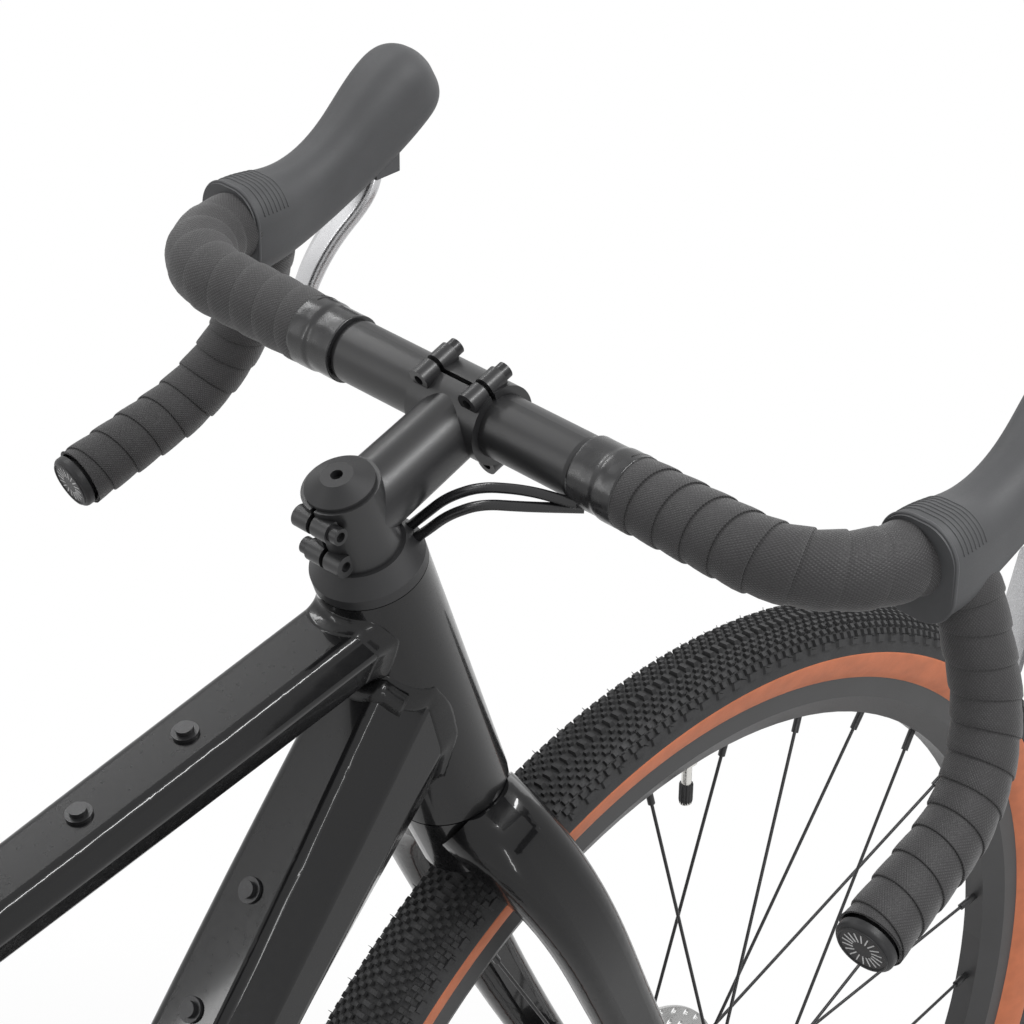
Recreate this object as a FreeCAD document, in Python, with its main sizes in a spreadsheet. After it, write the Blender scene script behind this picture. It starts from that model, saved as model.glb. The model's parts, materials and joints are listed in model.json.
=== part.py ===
import FreeCAD, Part
import math
import os
import re
import Sketcher
from FreeCAD import Placement, Rotation, Vector

# A gravel bike with drop bar and disc brakes, standing upright on its tyres.
# X points forward, Y to the rider's left and Z up, with the origin on the ground midway between the axles.

SIZES = (
    # Wheels and frame geometry
    ("wheelbase", 1049, "axle to axle"),
    ("wheel_radius", 355, "outside of the tyre tread"),
    ("chainstay_length", 425, "bottom bracket to rear axle"),
    ("bottom_bracket_drop", 70, "below the axles"),
    ("head_angle", 71, "steering axis from the ground, degrees"),
    ("seat_angle", 73.1, "seat tube from the ground, degrees"),
    ("fork_offset", 52, "axle ahead of the steering axis"),
    ("fork_length", 415, "axle to the foot of the head tube"),
    ("head_tube_length", 158, "along the steering axis"),
    ("seat_tube_length", 520, "bottom bracket to its top"),
    ("running_fit", 0.06, "radial gap between a shaft and its bearing"),
    ("seat_gap", 0.1, "gap round a piece that is clamped or pressed"),
    ("body_gap", 0.5, "gap between pieces that move past each other"),
    ("overrun", 4, "how far a cutting shape runs past what it cuts"),
    ("tube_wall", 2, "wall of the frame tubes"),
    # Head tube
    ("head_tube_top_radius", 28.3, "outside at the top"),
    ("head_tube_low_radius", 30.3, "outside at the foot"),
    ("head_tube_bore", 24, "inside radius between the bearings"),
    ("head_bearing_radius", 26, "bearing seats at both ends"),
    ("head_bearing_bore", 20, "inside of the bearings"),
    ("head_bearing_height", 8, "depth of the bearing seats"),
    # Top tube and down tube
    ("top_tube_meet", 144, "where its upper face meets the steering axis, above the foot"),
    ("top_tube_slope", 11.5, "fall towards the saddle, degrees"),
    ("top_tube_width", 45, "at the head tube"),
    ("top_tube_depth", 36, "at the head tube"),
    ("top_tube_corner", 6, "radius of its edges"),
    ("top_boss_start", 122.7, "first boss, along the upper face from the steering axis"),
    ("boss_spacing", 64, "between the two bosses of a pair"),
    ("down_tube_meet", 125, "where its upper face meets the steering axis, above the foot"),
    ("down_tube_slope", 51.75, "fall towards the pedals, degrees"),
    ("down_tube_width", 61, "greatest width"),
    ("down_tube_depth", 86, "depth at the head tube"),
    ("down_tube_corner", 7, "radius of its edges"),
    ("down_boss_start", 148, "first boss, along the upper face from the steering axis"),
    ("boss_radius", 6.5, "collar of a boss"),
    ("boss_height", 1.6, "collar above the tube"),
    ("boss_bolt_radius", 4.2, "round head of a boss bolt"),
    ("boss_bolt_height", 2.4, "round head of a boss bolt"),
    ("boss_shank_radius", 2.5, "threaded shank"),
    ("boss_shank_length", 9, "into the tube"),
    # Seat tube, post and clamp
    ("seat_tube_radius", 17, "outside"),
    ("seat_post_radius", 13.6, "outside of the post"),
    ("seat_post_length", 330, "whole post"),
    ("seat_post_insert", 150, "length inside the seat tube"),
    ("seat_post_wall", 2.4, "wall of the post"),
    ("seat_boss_height", 190, "lower bottle boss above the bottom bracket"),
    ("seat_clamp_height", 15, "collar at the top of the seat tube"),
    ("seat_clamp_wall", 4, "collar thickness"),
    ("seat_clamp_slot", 2, "slit at the back"),
    ("clamp_bolt_radius", 2.5, "shank of small clamp bolts"),
    ("clamp_head_radius", 4.25, "head of small clamp bolts"),
    ("clamp_head_height", 5, "head of small clamp bolts"),
    # Saddle
    ("saddle_length", 268, "nose to tail"),
    ("saddle_width", 146, "at the tail"),
    ("saddle_depth", 40, "crown to skirt"),
    ("saddle_setback", 28, "clamp ahead of the middle of the saddle"),
    ("saddle_edge", 9, "rounding of the cushion"),
    ("rail_radius", 3.5, "saddle rails"),
    ("rail_spacing", 44, "between the rails"),
    ("rail_drop", 34, "rail below the cushion at the clamp"),
    ("rail_bend", 32, "radius of the rail bends"),
    ("post_head_length", 40, "rail clamp along the rails"),
    ("post_head_height", 22, "rail clamp height"),
    # Bottom bracket and rear triangle
    ("shell_radius", 23, "outside of the bottom bracket shell"),
    ("shell_bore", 18, "inside of the bottom bracket shell"),
    ("shell_width", 73, "face to face"),
    ("cup_radius", 21, "outboard bearing cups"),
    ("cup_width", 9, "outboard bearing cups"),
    ("spindle_radius", 12, "crank spindle"),
    ("rear_hub_width", 142, "between the dropouts"),
    ("dropout_thickness", 8, "dropout plates"),
    ("dropout_radius", 19, "round eye of a dropout"),
    ("chainstay_width", 17, "rounded box section"),
    ("chainstay_depth", 32, "rounded box section"),
    ("chainstay_corner", 5, "edge radius"),
    ("seatstay_width", 13, "rounded box section"),
    ("seatstay_depth", 18, "rounded box section"),
    ("seatstay_corner", 4, "edge radius"),
    ("seatstay_height", 400, "top end, along the seat tube from the bottom bracket"),
    ("eyelet_radius", 2.5, "rack eyelet thread"),
    ("eyelet_distance", 30, "rack eyelet from the rear axle"),
    # Fork
    ("steerer_radius", 14.3, "upper steerer"),
    ("steerer_low_radius", 19.5, "steerer at the crown"),
    ("crown_gap", 0.8, "between the crown and the head tube"),
    ("crown_height", 44, "crown below the head tube"),
    ("fork_leg_spread", 58, "leg centre from the middle plane"),
    ("fork_leg_depth", 46, "fore and aft at the crown"),
    ("fork_leg_width", 33, "side to side at the crown"),
    ("fork_end_width", 15, "round eye at the axle, side to side"),
    ("fork_eye_radius", 14, "round eye at the axle"),
    ("front_hub_width", 100, "between the fork eyes"),
    ("axle_radius", 6, "thru axles"),
    ("axle_head_radius", 9, "axle heads"),
    ("axle_head_length", 4, "axle heads"),
    # Headset cover, stem and top cap
    ("cover_height", 15, "headset cover"),
    ("cover_top_radius", 21, "headset cover under the stem"),
    ("cover_lip", 6, "straight lower band of the cover"),
    ("stem_length", 80, "steerer to handlebar"),
    ("stem_clamp_height", 40, "along the steerer"),
    ("stem_clamp_radius", 19, "round clamp on the steerer"),
    ("stem_neck_radius", 18.5, "neck of the stem"),
    ("stem_neck_thin", 17.5, "neck near the handlebar"),
    ("stem_slot", 2.5, "slit at the back of the steerer clamp"),
    ("stem_lug_radius", 5.6, "round bolt lugs"),
    ("stem_lug_length", 10, "each side of the slit"),
    ("stem_lug_spacing", 23, "between the two steerer clamp bolts"),
    ("face_width", 45, "handlebar clamp, side to side"),
    ("face_wall", 4.2, "handlebar clamp thickness"),
    ("face_gap", 2.4, "between stem and faceplate"),
    ("face_bolt_spread", 32, "faceplate bolts, side to side"),
    ("face_lug_length", 11, "stem side of a faceplate bolt lug"),
    ("top_cap_radius", 17, "top cap rim"),
    ("top_cap_height", 7, "top cap"),
    ("top_cap_crown", 8, "flat top of the top cap"),
    ("hex_key", 6, "across the flats"),
    ("hex_depth", 4, "depth of hex sockets"),
    # Handlebar
    ("bar_clamp_radius", 15.9, "thick middle"),
    ("bar_clamp_half", 76, "half length of the thick middle"),
    ("bar_taper", 16, "length of the taper beside it"),
    ("bar_radius", 11.9, "rest of the bar"),
    ("bar_half_width", 228, "middle of a hood from the middle plane"),
    ("bar_reach", 82, "forward bend"),
    ("bar_ramp", 6, "fall of the ramp to the hoods"),
    ("bar_drop", 116, "depth of the front of the drop"),
    ("bar_end_back", 23.4, "end of the drop behind the clamp"),
    ("bar_end_low", 148.4, "end of the drop below the clamp"),
    ("bar_end_half", 274.6, "end of the drop from the middle plane"),
    ("bar_bend_radius", 51, "first bend"),
    ("bar_front_radius", 36, "bend at the hoods"),
    ("bar_drop_radius", 72, "bend at the foot of the drop"),
    ("tape_radius", 16.4, "outside of the bar tape on the drops"),
    ("tape_top_radius", 18, "outside of the bar tape on the tops, over the hoses"),
    ("tape_start", 86, "from the middle plane"),
    ("plug_radius", 15.2, "bar-end plugs"),
    ("plug_length", 5, "head of a bar-end plug"),
    ("plug_stem_length", 18, "inside the bar"),
    ("bar_wall", 2.4, "wall of the bar"),
    # Hoods and levers
    ("hood_length", 136, "back edge to tip"),
    ("hood_back", 51, "back edge ahead of the clamp"),
    ("hood_width", 42, "at the back"),
    ("hood_depth", 50, "at the back"),
    ("hood_rise", 50, "tip above the back"),
    ("hood_corner_share", 0.42, "edge radius as a share of the smaller side"),
    ("lever_pin_radius", 2.5, "lever pivot"),
    ("lever_forward", 152, "pivot ahead of the clamp"),
    ("lever_height", -1, "pivot above the clamp"),
    ("lever_length", 128, "pivot to tip"),
    ("lever_width", 16, "blade across"),
    ("lever_thickness", 9, "blade fore and aft"),
    ("paddle_length", 62, "shift paddle"),
    ("paddle_width", 17, "shift paddle"),
    ("paddle_thickness", 4, "shift paddle"),
    # Hoses
    ("hose_radius", 2.5, "brake hoses"),
    # Wheel
    ("rim_outer_radius", 316.3, "rim edge"),
    ("rim_inner_radius", 291, "rim at the nipples"),
    ("rim_width", 29, "outside"),
    ("rim_well_radius", 304, "bottom of the rim well"),
    ("rim_wall", 3.2, "side walls of the rim"),
    ("rim_inner_width", 14, "rim at the nipples"),
    ("tyre_width", 45, "outside of the casing"),
    ("tyre_casing", 2.6, "sidewall"),
    ("tyre_tread", 5, "tread at the crown"),
    ("tyre_bead_radius", 307.5, "inside of the bead"),
    ("spoke_radius", 1.0, "round spokes"),
    ("spoke_lift", 1.5, "outer spokes clear of the flange's edge"),
    ("nipple_radius", 2.1, "nipples"),
    ("nipple_length", 13, "nipples"),
    ("valve_radius", 2.9, "valve stem"),
    ("valve_length", 22, "valve stem inside the rim"),
    ("valve_cap_radius", 3.5, "valve cap"),
    ("valve_cap_length", 13, "valve cap"),
    ("hub_radius", 13.5, "hub shell"),
    ("hub_bore", 11, "inside of the hub shell"),
    ("hub_bearing_width", 7, "hub bearings"),
    ("hub_cap_radius", 9.5, "end caps"),
    ("flange_radius", 25, "hub flanges"),
    ("flange_thickness", 3.2, "hub flanges"),
    ("flange_inset", 5, "spoke circle below the flange edge"),
    ("front_left_flange", 21, "left flange from the middle plane"),
    ("front_right_flange", 33, "right flange from the middle plane"),
    ("rear_left_flange", 33, "left flange from the middle plane"),
    ("rear_right_flange", 20, "right flange from the middle plane"),
    ("rotor_radius", 80, "disc rotor"),
    ("rotor_thickness", 1.8, "disc rotor"),
    ("rotor_track", 14, "width of the brake track"),
    ("rotor_carrier", 27, "radius of the carrier"),
    ("rotor_bore", 17, "bore of the carrier"),
    ("rotor_arm", 11, "width of the rotor arms"),
    ("rotor_hole", 2.4, "radius of the rotor holes"),
    ("rotor_inset", 15, "rotor from the end of the hub"),
    # Calipers
    ("caliper_length", 66, "along the fork or stay"),
    ("caliper_width", 30, "across the rotor"),
    ("caliper_inner", 10, "from the rotor to the inner face"),
    ("caliper_depth", 26, "in and out from the rotor centre"),
    ("caliper_slot", 4.2, "rotor slot"),
    ("caliper_reach", 78, "caliper centre from the axle"),
    ("caliper_edge", 4, "rounded edges"),
    # Drive train
    ("pitch", 12.7, "chain pitch"),
    ("roller_radius", 3.88, "chain rollers"),
    ("chain_line", 48, "chain from the middle plane"),
    ("chain_plate_height", 8.4, "link plates"),
    ("chain_plate", 0.75, "plate thickness"),
    ("chain_inner_width", 2.2, "between inner plates"),
    ("chain_pin_radius", 1.75, "pins"),
    ("sprocket_thickness", 1.6, "teeth"),
    ("tooth_height", 3.4, "tip above the pitch circle"),
    ("tooth_relief", 0.3, "gap between a roller and its seat"),
    ("cog_spacing", 3.74, "between cogs"),
    ("freehub_radius", 17, "freehub body"),
    ("crank_length", 172.5, "spindle to pedal axle"),
    ("crank_boss_radius", 20, "round end at the spindle"),
    ("crank_eye_radius", 13, "round end at the pedal"),
    ("crank_thickness", 15, "arm thickness"),
    ("crank_inset", 56, "inner face of the arm at the spindle"),
    ("crank_flare", 8, "arm moves outward to the pedal"),
    ("pedal_axle_radius", 4.5, "pedal axle"),
    ("pedal_length", 96, "fore and aft"),
    ("pedal_width", 92, "side to side"),
    ("pedal_height", 17, "platform"),
    ("pedal_wall", 13, "rim of the platform"),
    ("pedal_core_radius", 8, "tube round the axle"),
    # Derailleur
    ("hanger_back", 9, "hanger bolt behind the rear axle"),
    ("hanger_drop", 29, "hanger bolt below the rear axle"),
    ("cage_forward", 24, "cage pivot ahead of the rear axle"),
    ("cage_drop", 116, "cage pivot below the rear axle"),
    ("guide_rise", 14, "guide pulley above the cage pivot"),
    ("tension_drop", 74, "tension pulley below the cage pivot"),
    ("cage_plate", 1.8, "cage plates"),
    ("cage_gap", 3.8, "plate from the chain's middle"),
    ("cage_width", 17, "cage plates"),
    ("pulley_bolt_radius", 2.6, "pulley bolts"),
    ("link_length", 38, "derailleur links between pivots"),
    ("link_spread", 17, "between the two links"),
    ("link_width", 13, "links along their pins"),
    ("link_thickness", 6, "links across"),
    ("link_pin_radius", 2.2, "link pins"),
    ("link_drop", 68, "links below the rear axle"),
    ("link_slant", 45, "link pins from upright, degrees"),
    ("ear_thickness", 3, "ears that hold the link pins"),
    ("knuckle_depth", 12, "solid part of a knuckle"),
    ("knuckle_out", 78, "middle of the links from the middle plane"),
    ("knuckle_radius", 12.5, "round housings of the knuckles"),
    ("cage_shaft_radius", 5, "cage pivot"),
)

# Counts
SPOKE_COUNT = 28
ROTOR_ARMS = 6
ROTOR_HOLES = 36
CHAINRING_TEETH = 40
COG_TEETH = (11, 13, 15, 17, 19, 21, 24, 28, 32, 37, 42)
CHAIN_COG = 5
GUIDE_TEETH = 12
TENSION_TEETH = 14

doc = FreeCAD.newDocument("GravelBike")
sheet = doc.addObject("Spreadsheet::Sheet", "Sizes")
for row, (alias, value, meaning) in enumerate(SIZES, start=1):
    sheet.set(f"A{row}", alias)
    sheet.set(f"B{row}", str(value))
    sheet.setAlias(f"B{row}", alias)
    sheet.set(f"C{row}", meaning)
doc.recompute()


class Sizes:
    """The sizes as the sheet holds them, one attribute for each alias."""

    def __init__(self):
        for name, _, _ in SIZES:
            setattr(self, name, float(sheet.get(name)))


S = Sizes()
NODES = {}


# Helpers for document objects

def cell(text):
    """An expression in which each alias names its cell of the sheet."""
    return re.sub(r"[a-z][a-z_0-9]*", r"Sizes.\g<0>", text)


def worth(text):
    """The number that an expression of aliases comes to."""
    return float(sheet.evalExpression(cell(text)))


def node(name, thing):
    """Keep an object as the sub-part of this name."""
    thing.Label = name
    NODES[name] = thing
    return thing


def shaped(name, shape, placement=Placement()):
    """A sub-part whose shape is worked out here from the sheet's sizes."""
    thing = doc.addObject("Part::Feature", name)
    thing.Shape = shape
    thing.Placement = placement.multiply(shape.Placement)
    return node(name, thing)


def primitive(kind, placement, **sizes):
    """A solid primitive with each size bound to the sheet."""
    thing = doc.addObject("Part::" + kind, kind)
    for prop, text in sizes.items():
        thing.setExpression(prop, cell(text))
    thing.Placement = placement
    return thing


def cylinder(placement, radius, height):
    return primitive("Cylinder", placement, Radius=radius, Height=height)


def box(placement, length, width, height):
    return primitive("Box", placement, Length=length, Width=width, Height=height)


def cone(placement, radius1, radius2, height):
    return primitive("Cone", placement, Radius1=radius1, Radius2=radius2, Height=height)


def joined(things):
    """One solid from several that meet."""
    whole = doc.addObject("Part::MultiFuse", "Joined")
    whole.Shapes = things
    return whole


def cut(base, tools):
    """A solid with others taken out of it."""
    result = doc.addObject("Part::Cut", "Cut")
    result.Base = base
    result.Tool = tools[0] if len(tools) == 1 else joined(tools)
    return result


def origin_plane(body, role):
    return next(plane for plane in body.Origin.OriginFeatures if plane.Role == role)


def new_sketch(body, role):
    sketch = body.newObject("Sketcher::SketchObject", body.Name + "_sketch")
    sketch.AttachmentSupport = [(origin_plane(body, role), "")]
    sketch.MapMode = "FlatFace"
    return sketch


def tie(sketch, geometry, point, texts, values):
    """Hold a sketch point at two distances from the origin that follow the sheet."""
    for kind, axis, text, value in zip(("DistanceX", "DistanceY"), (-2, -1), texts, values):
        if text == "0":
            sketch.addConstraint(Sketcher.Constraint("PointOnObject", geometry, point, axis))
        else:
            number = sketch.addConstraint(Sketcher.Constraint(kind, -1, 1, geometry, point, value))
            sketch.setExpression(f"Constraints[{number}]", cell(text))


def draw_outline(sketch, points):
    """A closed outline of straight edges through points written as expressions."""
    places = [(worth(across), worth(along)) for across, along in points]
    count = len(places)
    for index, start in enumerate(places):
        end = places[(index + 1) % count]
        sketch.addGeometry(Part.LineSegment(Vector(*start, 0), Vector(*end, 0)), False)
    for index in range(count):
        sketch.addConstraint(Sketcher.Constraint("Coincident", index, 2, (index + 1) % count, 1))
    for index, (texts, values) in enumerate(zip(points, places)):
        tie(sketch, index, 1, texts, values)


def draw_circle(sketch, centre, radius):
    values = [worth(text) for text in centre]
    circle = Part.Circle(Vector(*values, 0), Vector(0, 0, 1), worth(radius))
    geometry = sketch.addGeometry(circle, False)
    tie(sketch, geometry, 3, centre, values)
    number = sketch.addConstraint(Sketcher.Constraint("Radius", geometry, worth(radius)))
    sketch.setExpression(f"Constraints[{number}]", cell(radius))


def turned(name, profile, placement):
    """A body of revolution about its own Z axis from (radius, height) points."""
    body = doc.addObject("PartDesign::Body", name)
    sketch = new_sketch(body, "XZ_Plane")
    draw_outline(sketch, profile)
    turn = body.newObject("PartDesign::Revolution", name + "_turn")
    turn.Profile = sketch
    turn.ReferenceAxis = (sketch, ["V_Axis"])
    turn.Angle = 360
    body.Placement = placement
    return body


def padded(body, draw, thickness):
    """Raise what draw puts on a sketch by a thickness, half to each side."""
    sketch = new_sketch(body, "XY_Plane")
    draw(sketch)
    pad = body.newObject("PartDesign::Pad", body.Name + "_pad")
    pad.Profile = sketch
    pad.Midplane = True
    pad.setExpression("Length", cell(thickness))
    return pad


def pocketed(body, draw, copies=1):
    """Cut what draw puts on a sketch right through, repeated round the axis."""
    sketch = new_sketch(body, "XY_Plane")
    draw(sketch)
    pocket = body.newObject("PartDesign::Pocket", body.Name + "_pocket")
    pocket.Profile = sketch
    pocket.Midplane = True
    pocket.Type = "ThroughAll"
    if copies > 1:
        pattern = body.newObject("PartDesign::PolarPattern", body.Name + "_ring")
        pattern.Originals = [pocket]
        pattern.Axis = (sketch, ["N_Axis"])
        pattern.Angle = 360
        pattern.Occurrences = copies
        body.Tip = pattern


# Helpers for shapes

X, Y, Z = Vector(1, 0, 0), Vector(0, 1, 0), Vector(0, 0, 1)
TO_LEFT = Rotation(X, -90)
TO_RIGHT = Rotation(X, 90)


def rounded_outline(points, radius):
    """A closed wire through coplanar points, straight between corners of one radius."""
    corners = []
    for index, corner in enumerate(points):
        back = (points[index - 1] - corner).normalize()
        ahead = (points[(index + 1) % len(points)] - corner).normalize()
        half = back.getAngle(ahead) / 2
        inset = radius / math.tan(half)
        bisector = (back + ahead).normalize()
        middle = corner + bisector * (radius / math.sin(half) - radius)
        corners.append((corner + back * inset, middle, corner + ahead * inset))
    edges = []
    for index, (start, middle, end) in enumerate(corners):
        edges.append(Part.Arc(start, middle, end).toShape())
        edges.append(Part.LineSegment(end, corners[(index + 1) % len(corners)][0]).toShape())
    return Part.Wire(edges)


BOX_SHARES = ((-0.5, -0.5), (0.5, -0.5), (0.5, 0.5), (-0.5, 0.5))
FACET_SHARES = ((-0.28, -0.5), (0.28, -0.5), (0.5, -0.18), (0.5, 0.16), (0.3, 0.5), (-0.3, 0.5),
                (-0.5, 0.16), (-0.5, -0.18))
CROWN_SHARES = ((-0.3, -0.5), (0.3, -0.5), (0.5, 0.1), (0.4, 0.5), (-0.4, 0.5), (-0.5, 0.1))


def section(centre, side, up, width, depth, radius, shares=BOX_SHARES):
    """A rounded section of the given width along side and depth along up."""
    points = [centre + side * (across * width) + up * (rise * depth) for across, rise in shares]
    return rounded_outline(points, radius)


LOFT_DEGREE = 3


def across(direction, side):
    """A unit side vector at right angles to direction, and the up vector that completes it."""
    along = Vector(direction).normalize()
    level = (side - along * side.dot(along)).normalize()
    return level, level.cross(along)


def lofted(wires):
    """A smooth solid through closed sections."""
    return Part.makeLoft(wires, True, False, False, LOFT_DEGREE)


def route(points, radii):
    """Straight runs through points, with tangent arcs of the given radii at the inner ones."""
    edges = []
    start = points[0]
    for index, radius in enumerate(radii, start=1):
        corner = points[index]
        back = (points[index - 1] - corner).normalize()
        ahead = (points[index + 1] - corner).normalize()
        half = back.getAngle(ahead) / 2
        inset = radius / math.tan(half)
        bisector = (back + ahead).normalize()
        middle = corner + bisector * (radius / math.sin(half) - radius)
        enter = corner + back * inset
        leave = corner + ahead * inset
        edges.append(Part.LineSegment(start, enter).toShape())
        edges.append(Part.Arc(enter, middle, leave).toShape())
        start = leave
    edges.append(Part.LineSegment(start, points[-1]).toShape())
    return Part.Wire(edges)


def swept(path, radius):
    """A round rod along a wire."""
    first = path.OrderedEdges[0]
    start = first.valueAt(first.FirstParameter)
    circle = Part.Circle(start, first.tangentAt(first.FirstParameter), radius)
    return path.makePipeShell([Part.Wire(circle.toShape())], True, False)


def rod(start, end, radius):
    return Part.makeCylinder(radius, (end - start).Length, start, end - start)


def mirrored(shape):
    """The shape on the other side of the middle plane."""
    return shape.mirror(Vector(0, 0, 0), Y)


def both_sides(shape):
    return Part.makeCompound([shape, mirrored(shape)])


def one_solid(shape):
    """The shape as a solid, from a boolean that leaves just one."""
    return max(shape.Solids, key=lambda solid: solid.Volume)


# Places that the whole bike is laid out from

HEAD_TILT = Rotation(Y, S.head_angle - 90)
STEER_UP = HEAD_TILT.multVec(Z)
STEER_AHEAD = HEAD_TILT.multVec(X)
SEAT_TILT = Rotation(Y, S.seat_angle - 90)
SEAT_UP = SEAT_TILT.multVec(Z)
FRONT_AXLE = Vector(S.wheelbase / 2, 0, S.wheel_radius)
REAR_AXLE = Vector(-S.wheelbase / 2, 0, S.wheel_radius)
SHELL = REAR_AXLE + Vector(math.sqrt(S.chainstay_length ** 2 - S.bottom_bracket_drop ** 2), 0,
                           -S.bottom_bracket_drop)
HEAD_FOOT = (FRONT_AXLE - STEER_AHEAD * S.fork_offset
             + STEER_UP * math.sqrt(S.fork_length ** 2 - S.fork_offset ** 2))
HEAD_TOP = HEAD_FOOT + STEER_UP * S.head_tube_length
STEM_FOOT = HEAD_TOP + STEER_UP * S.cover_height
BAR_CENTRE = STEM_FOOT + STEER_UP * (S.stem_clamp_height / 2) + STEER_AHEAD * S.stem_length
SEAT_TOP = SHELL + SEAT_UP * S.seat_tube_length


def steering(point=HEAD_FOOT):
    """A placement in line with the steering axis."""
    return Placement(point, HEAD_TILT)


def on_steering(across_axis, sideways, along_axis, base=STEM_FOOT):
    """A point given ahead of, beside and along the steering axis."""
    return base + STEER_AHEAD * across_axis + Y * sideways + STEER_UP * along_axis


def leftward(point):
    """A placement whose Z axis points to the left of the bike."""
    return Placement(point, TO_LEFT)


# Head tube and frame tubes

head_tube = node("head_tube", turned("head_tube", (
    ("head_bearing_radius", "0"), ("head_tube_low_radius", "0"),
    ("head_tube_top_radius", "head_tube_length"), ("head_bearing_radius", "head_tube_length"),
    ("head_bearing_radius", "head_tube_length - head_bearing_height"),
    ("head_tube_bore", "head_tube_length - head_bearing_height"),
    ("head_tube_bore", "head_bearing_height"), ("head_bearing_radius", "head_bearing_height"),
), steering()))

head_core = Part.makeCone(S.head_tube_low_radius, S.head_tube_top_radius, S.head_tube_length)
head_core.Placement = steering()
seat_core = rod(SHELL, SEAT_TOP, S.seat_tube_radius)
shell_core = rod(SHELL - Y * (S.shell_width / 2), SHELL + Y * (S.shell_width / 2), S.shell_radius)


def upward(along):
    """The direction out of the upper face of a tube in the middle plane."""
    up = across(along, Y)[1]
    return up if up.z > 0 else up * -1


def tapered_tube(start, end, stations, width, depth, corner, shares):
    """Outer and inner solids of a tube whose upper face is the line from start to end."""
    up = upward(end - start)
    outer, inner = [], []
    for share, wide, deep in stations:
        centre = start + (end - start) * share - up * (deep * depth / 2)
        outer.append(section(centre, Y, up, wide * width, deep * depth, corner, shares))
        inner.append(section(centre, Y, up, wide * width - 2 * S.tube_wall,
                             deep * depth - 2 * S.tube_wall, corner - S.tube_wall, shares))
    return lofted(outer), lofted(inner)


def meet(start, direction, other, other_direction):
    """Where two lines in the middle plane cross."""
    normal = Vector(-other_direction.z, 0, other_direction.x)
    return start + direction * ((other - start).dot(normal) / direction.dot(normal))


def falling(slope):
    """The direction of a tube that falls towards the back of the bike."""
    return Vector(-math.cos(math.radians(slope)), 0, -math.sin(math.radians(slope)))


TOP_TUBE_SHARES = ((0, 1, 1), (0.35, 0.96, 0.93), (0.7, 0.86, 0.85), (1, 0.76, 0.82))
top_start = HEAD_FOOT + STEER_UP * S.top_tube_meet
top_along = falling(S.top_tube_slope)
top_end = meet(top_start, top_along, SHELL, SEAT_UP)
top_outer, top_inner = tapered_tube(top_start, top_end, TOP_TUBE_SHARES, S.top_tube_width,
                                    S.top_tube_depth, S.top_tube_corner, CROWN_SHARES)

DOWN_TUBE_SHARES = ((0, 0.82, 1), (0.2, 1, 0.76), (0.55, 1, 0.62), (1, 0.95, 0.54))
down_start = HEAD_FOOT + STEER_UP * S.down_tube_meet
down_along = falling(S.down_tube_slope)
down_end = meet(down_start, down_along, SHELL, SEAT_UP)
down_outer, down_inner = tapered_tube(down_start, down_end, DOWN_TUBE_SHARES, S.down_tube_width,
                                      S.down_tube_depth, S.down_tube_corner, FACET_SHARES)


def on_top(solid, point, outward):
    """The place where a line into a tube first meets it."""
    reach = outward * S.down_tube_depth
    line = Part.makeLine(point + reach, point - reach)
    return max((vertex.Point for vertex in solid.common(line).Vertexes), key=outward.dot)


def boss_places():
    """Each boss: its place on the tube and the outward direction there."""
    lines = ((top_outer, top_start, top_along, upward(top_along), S.top_boss_start),
             (down_outer, down_start, down_along, upward(down_along), S.down_boss_start),
             (seat_core, SHELL, SEAT_UP, SEAT_TILT.multVec(X), S.seat_boss_height))
    places = []
    for solid, start, along, outward, first in lines:
        for index in range(2):
            point = start + along * (first + index * S.boss_spacing)
            places.append((on_top(solid, point, outward), outward))
    return places


BOSSES = boss_places()
boss_holes = Part.makeCompound([
    Part.makeCylinder(S.boss_shank_radius + S.seat_gap, S.boss_shank_length + S.overrun,
                      place + outward * S.overrun / 2, outward * -1)
    for place, outward in BOSSES])

shaped("top_tube", one_solid(top_outer.cut(top_inner).cut(head_core).cut(seat_core).cut(boss_holes)))
shaped("down_tube", one_solid(down_outer.cut(down_inner).cut(head_core).cut(seat_core).cut(shell_core)
                              .cut(top_outer).cut(boss_holes)))

seat_bore = rod(SHELL - SEAT_UP * S.overrun, SEAT_TOP + SEAT_UP * S.overrun,
                S.seat_post_radius + S.seat_gap)
shaped("seat_tube", one_solid(seat_core.cut(seat_bore).cut(shell_core).cut(boss_holes)))


def boss_bolt(place, outward):
    """A collar on the tube, a round-headed bolt in it and its shank."""
    collar = Part.makeCylinder(S.boss_radius, S.boss_height, place, outward)
    head = Part.makeCylinder(S.boss_bolt_radius, S.boss_bolt_height + S.boss_height, place, outward)
    shank = Part.makeCylinder(S.boss_shank_radius, S.boss_shank_length, place, outward * -1)
    return collar.fuse([head, shank]).removeSplitter()


shaped("frame_boss_bolts", Part.makeCompound([boss_bolt(*boss) for boss in BOSSES]))

node("bottom_bracket_shell", cut(
    cylinder(leftward(SHELL - Y * (S.shell_width / 2)), "shell_radius", "shell_width"),
    [cylinder(leftward(SHELL - Y * (S.shell_width / 2 + S.overrun)), "shell_bore",
              "shell_width + 2 * overrun")]))


# Bearings in the frame

def ring(placement, outer, bore, height):
    """A plain bearing ring as a shape."""
    whole = Part.makeCylinder(outer, height).cut(Part.makeCylinder(bore, height))
    whole.Placement = placement
    return whole


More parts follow.
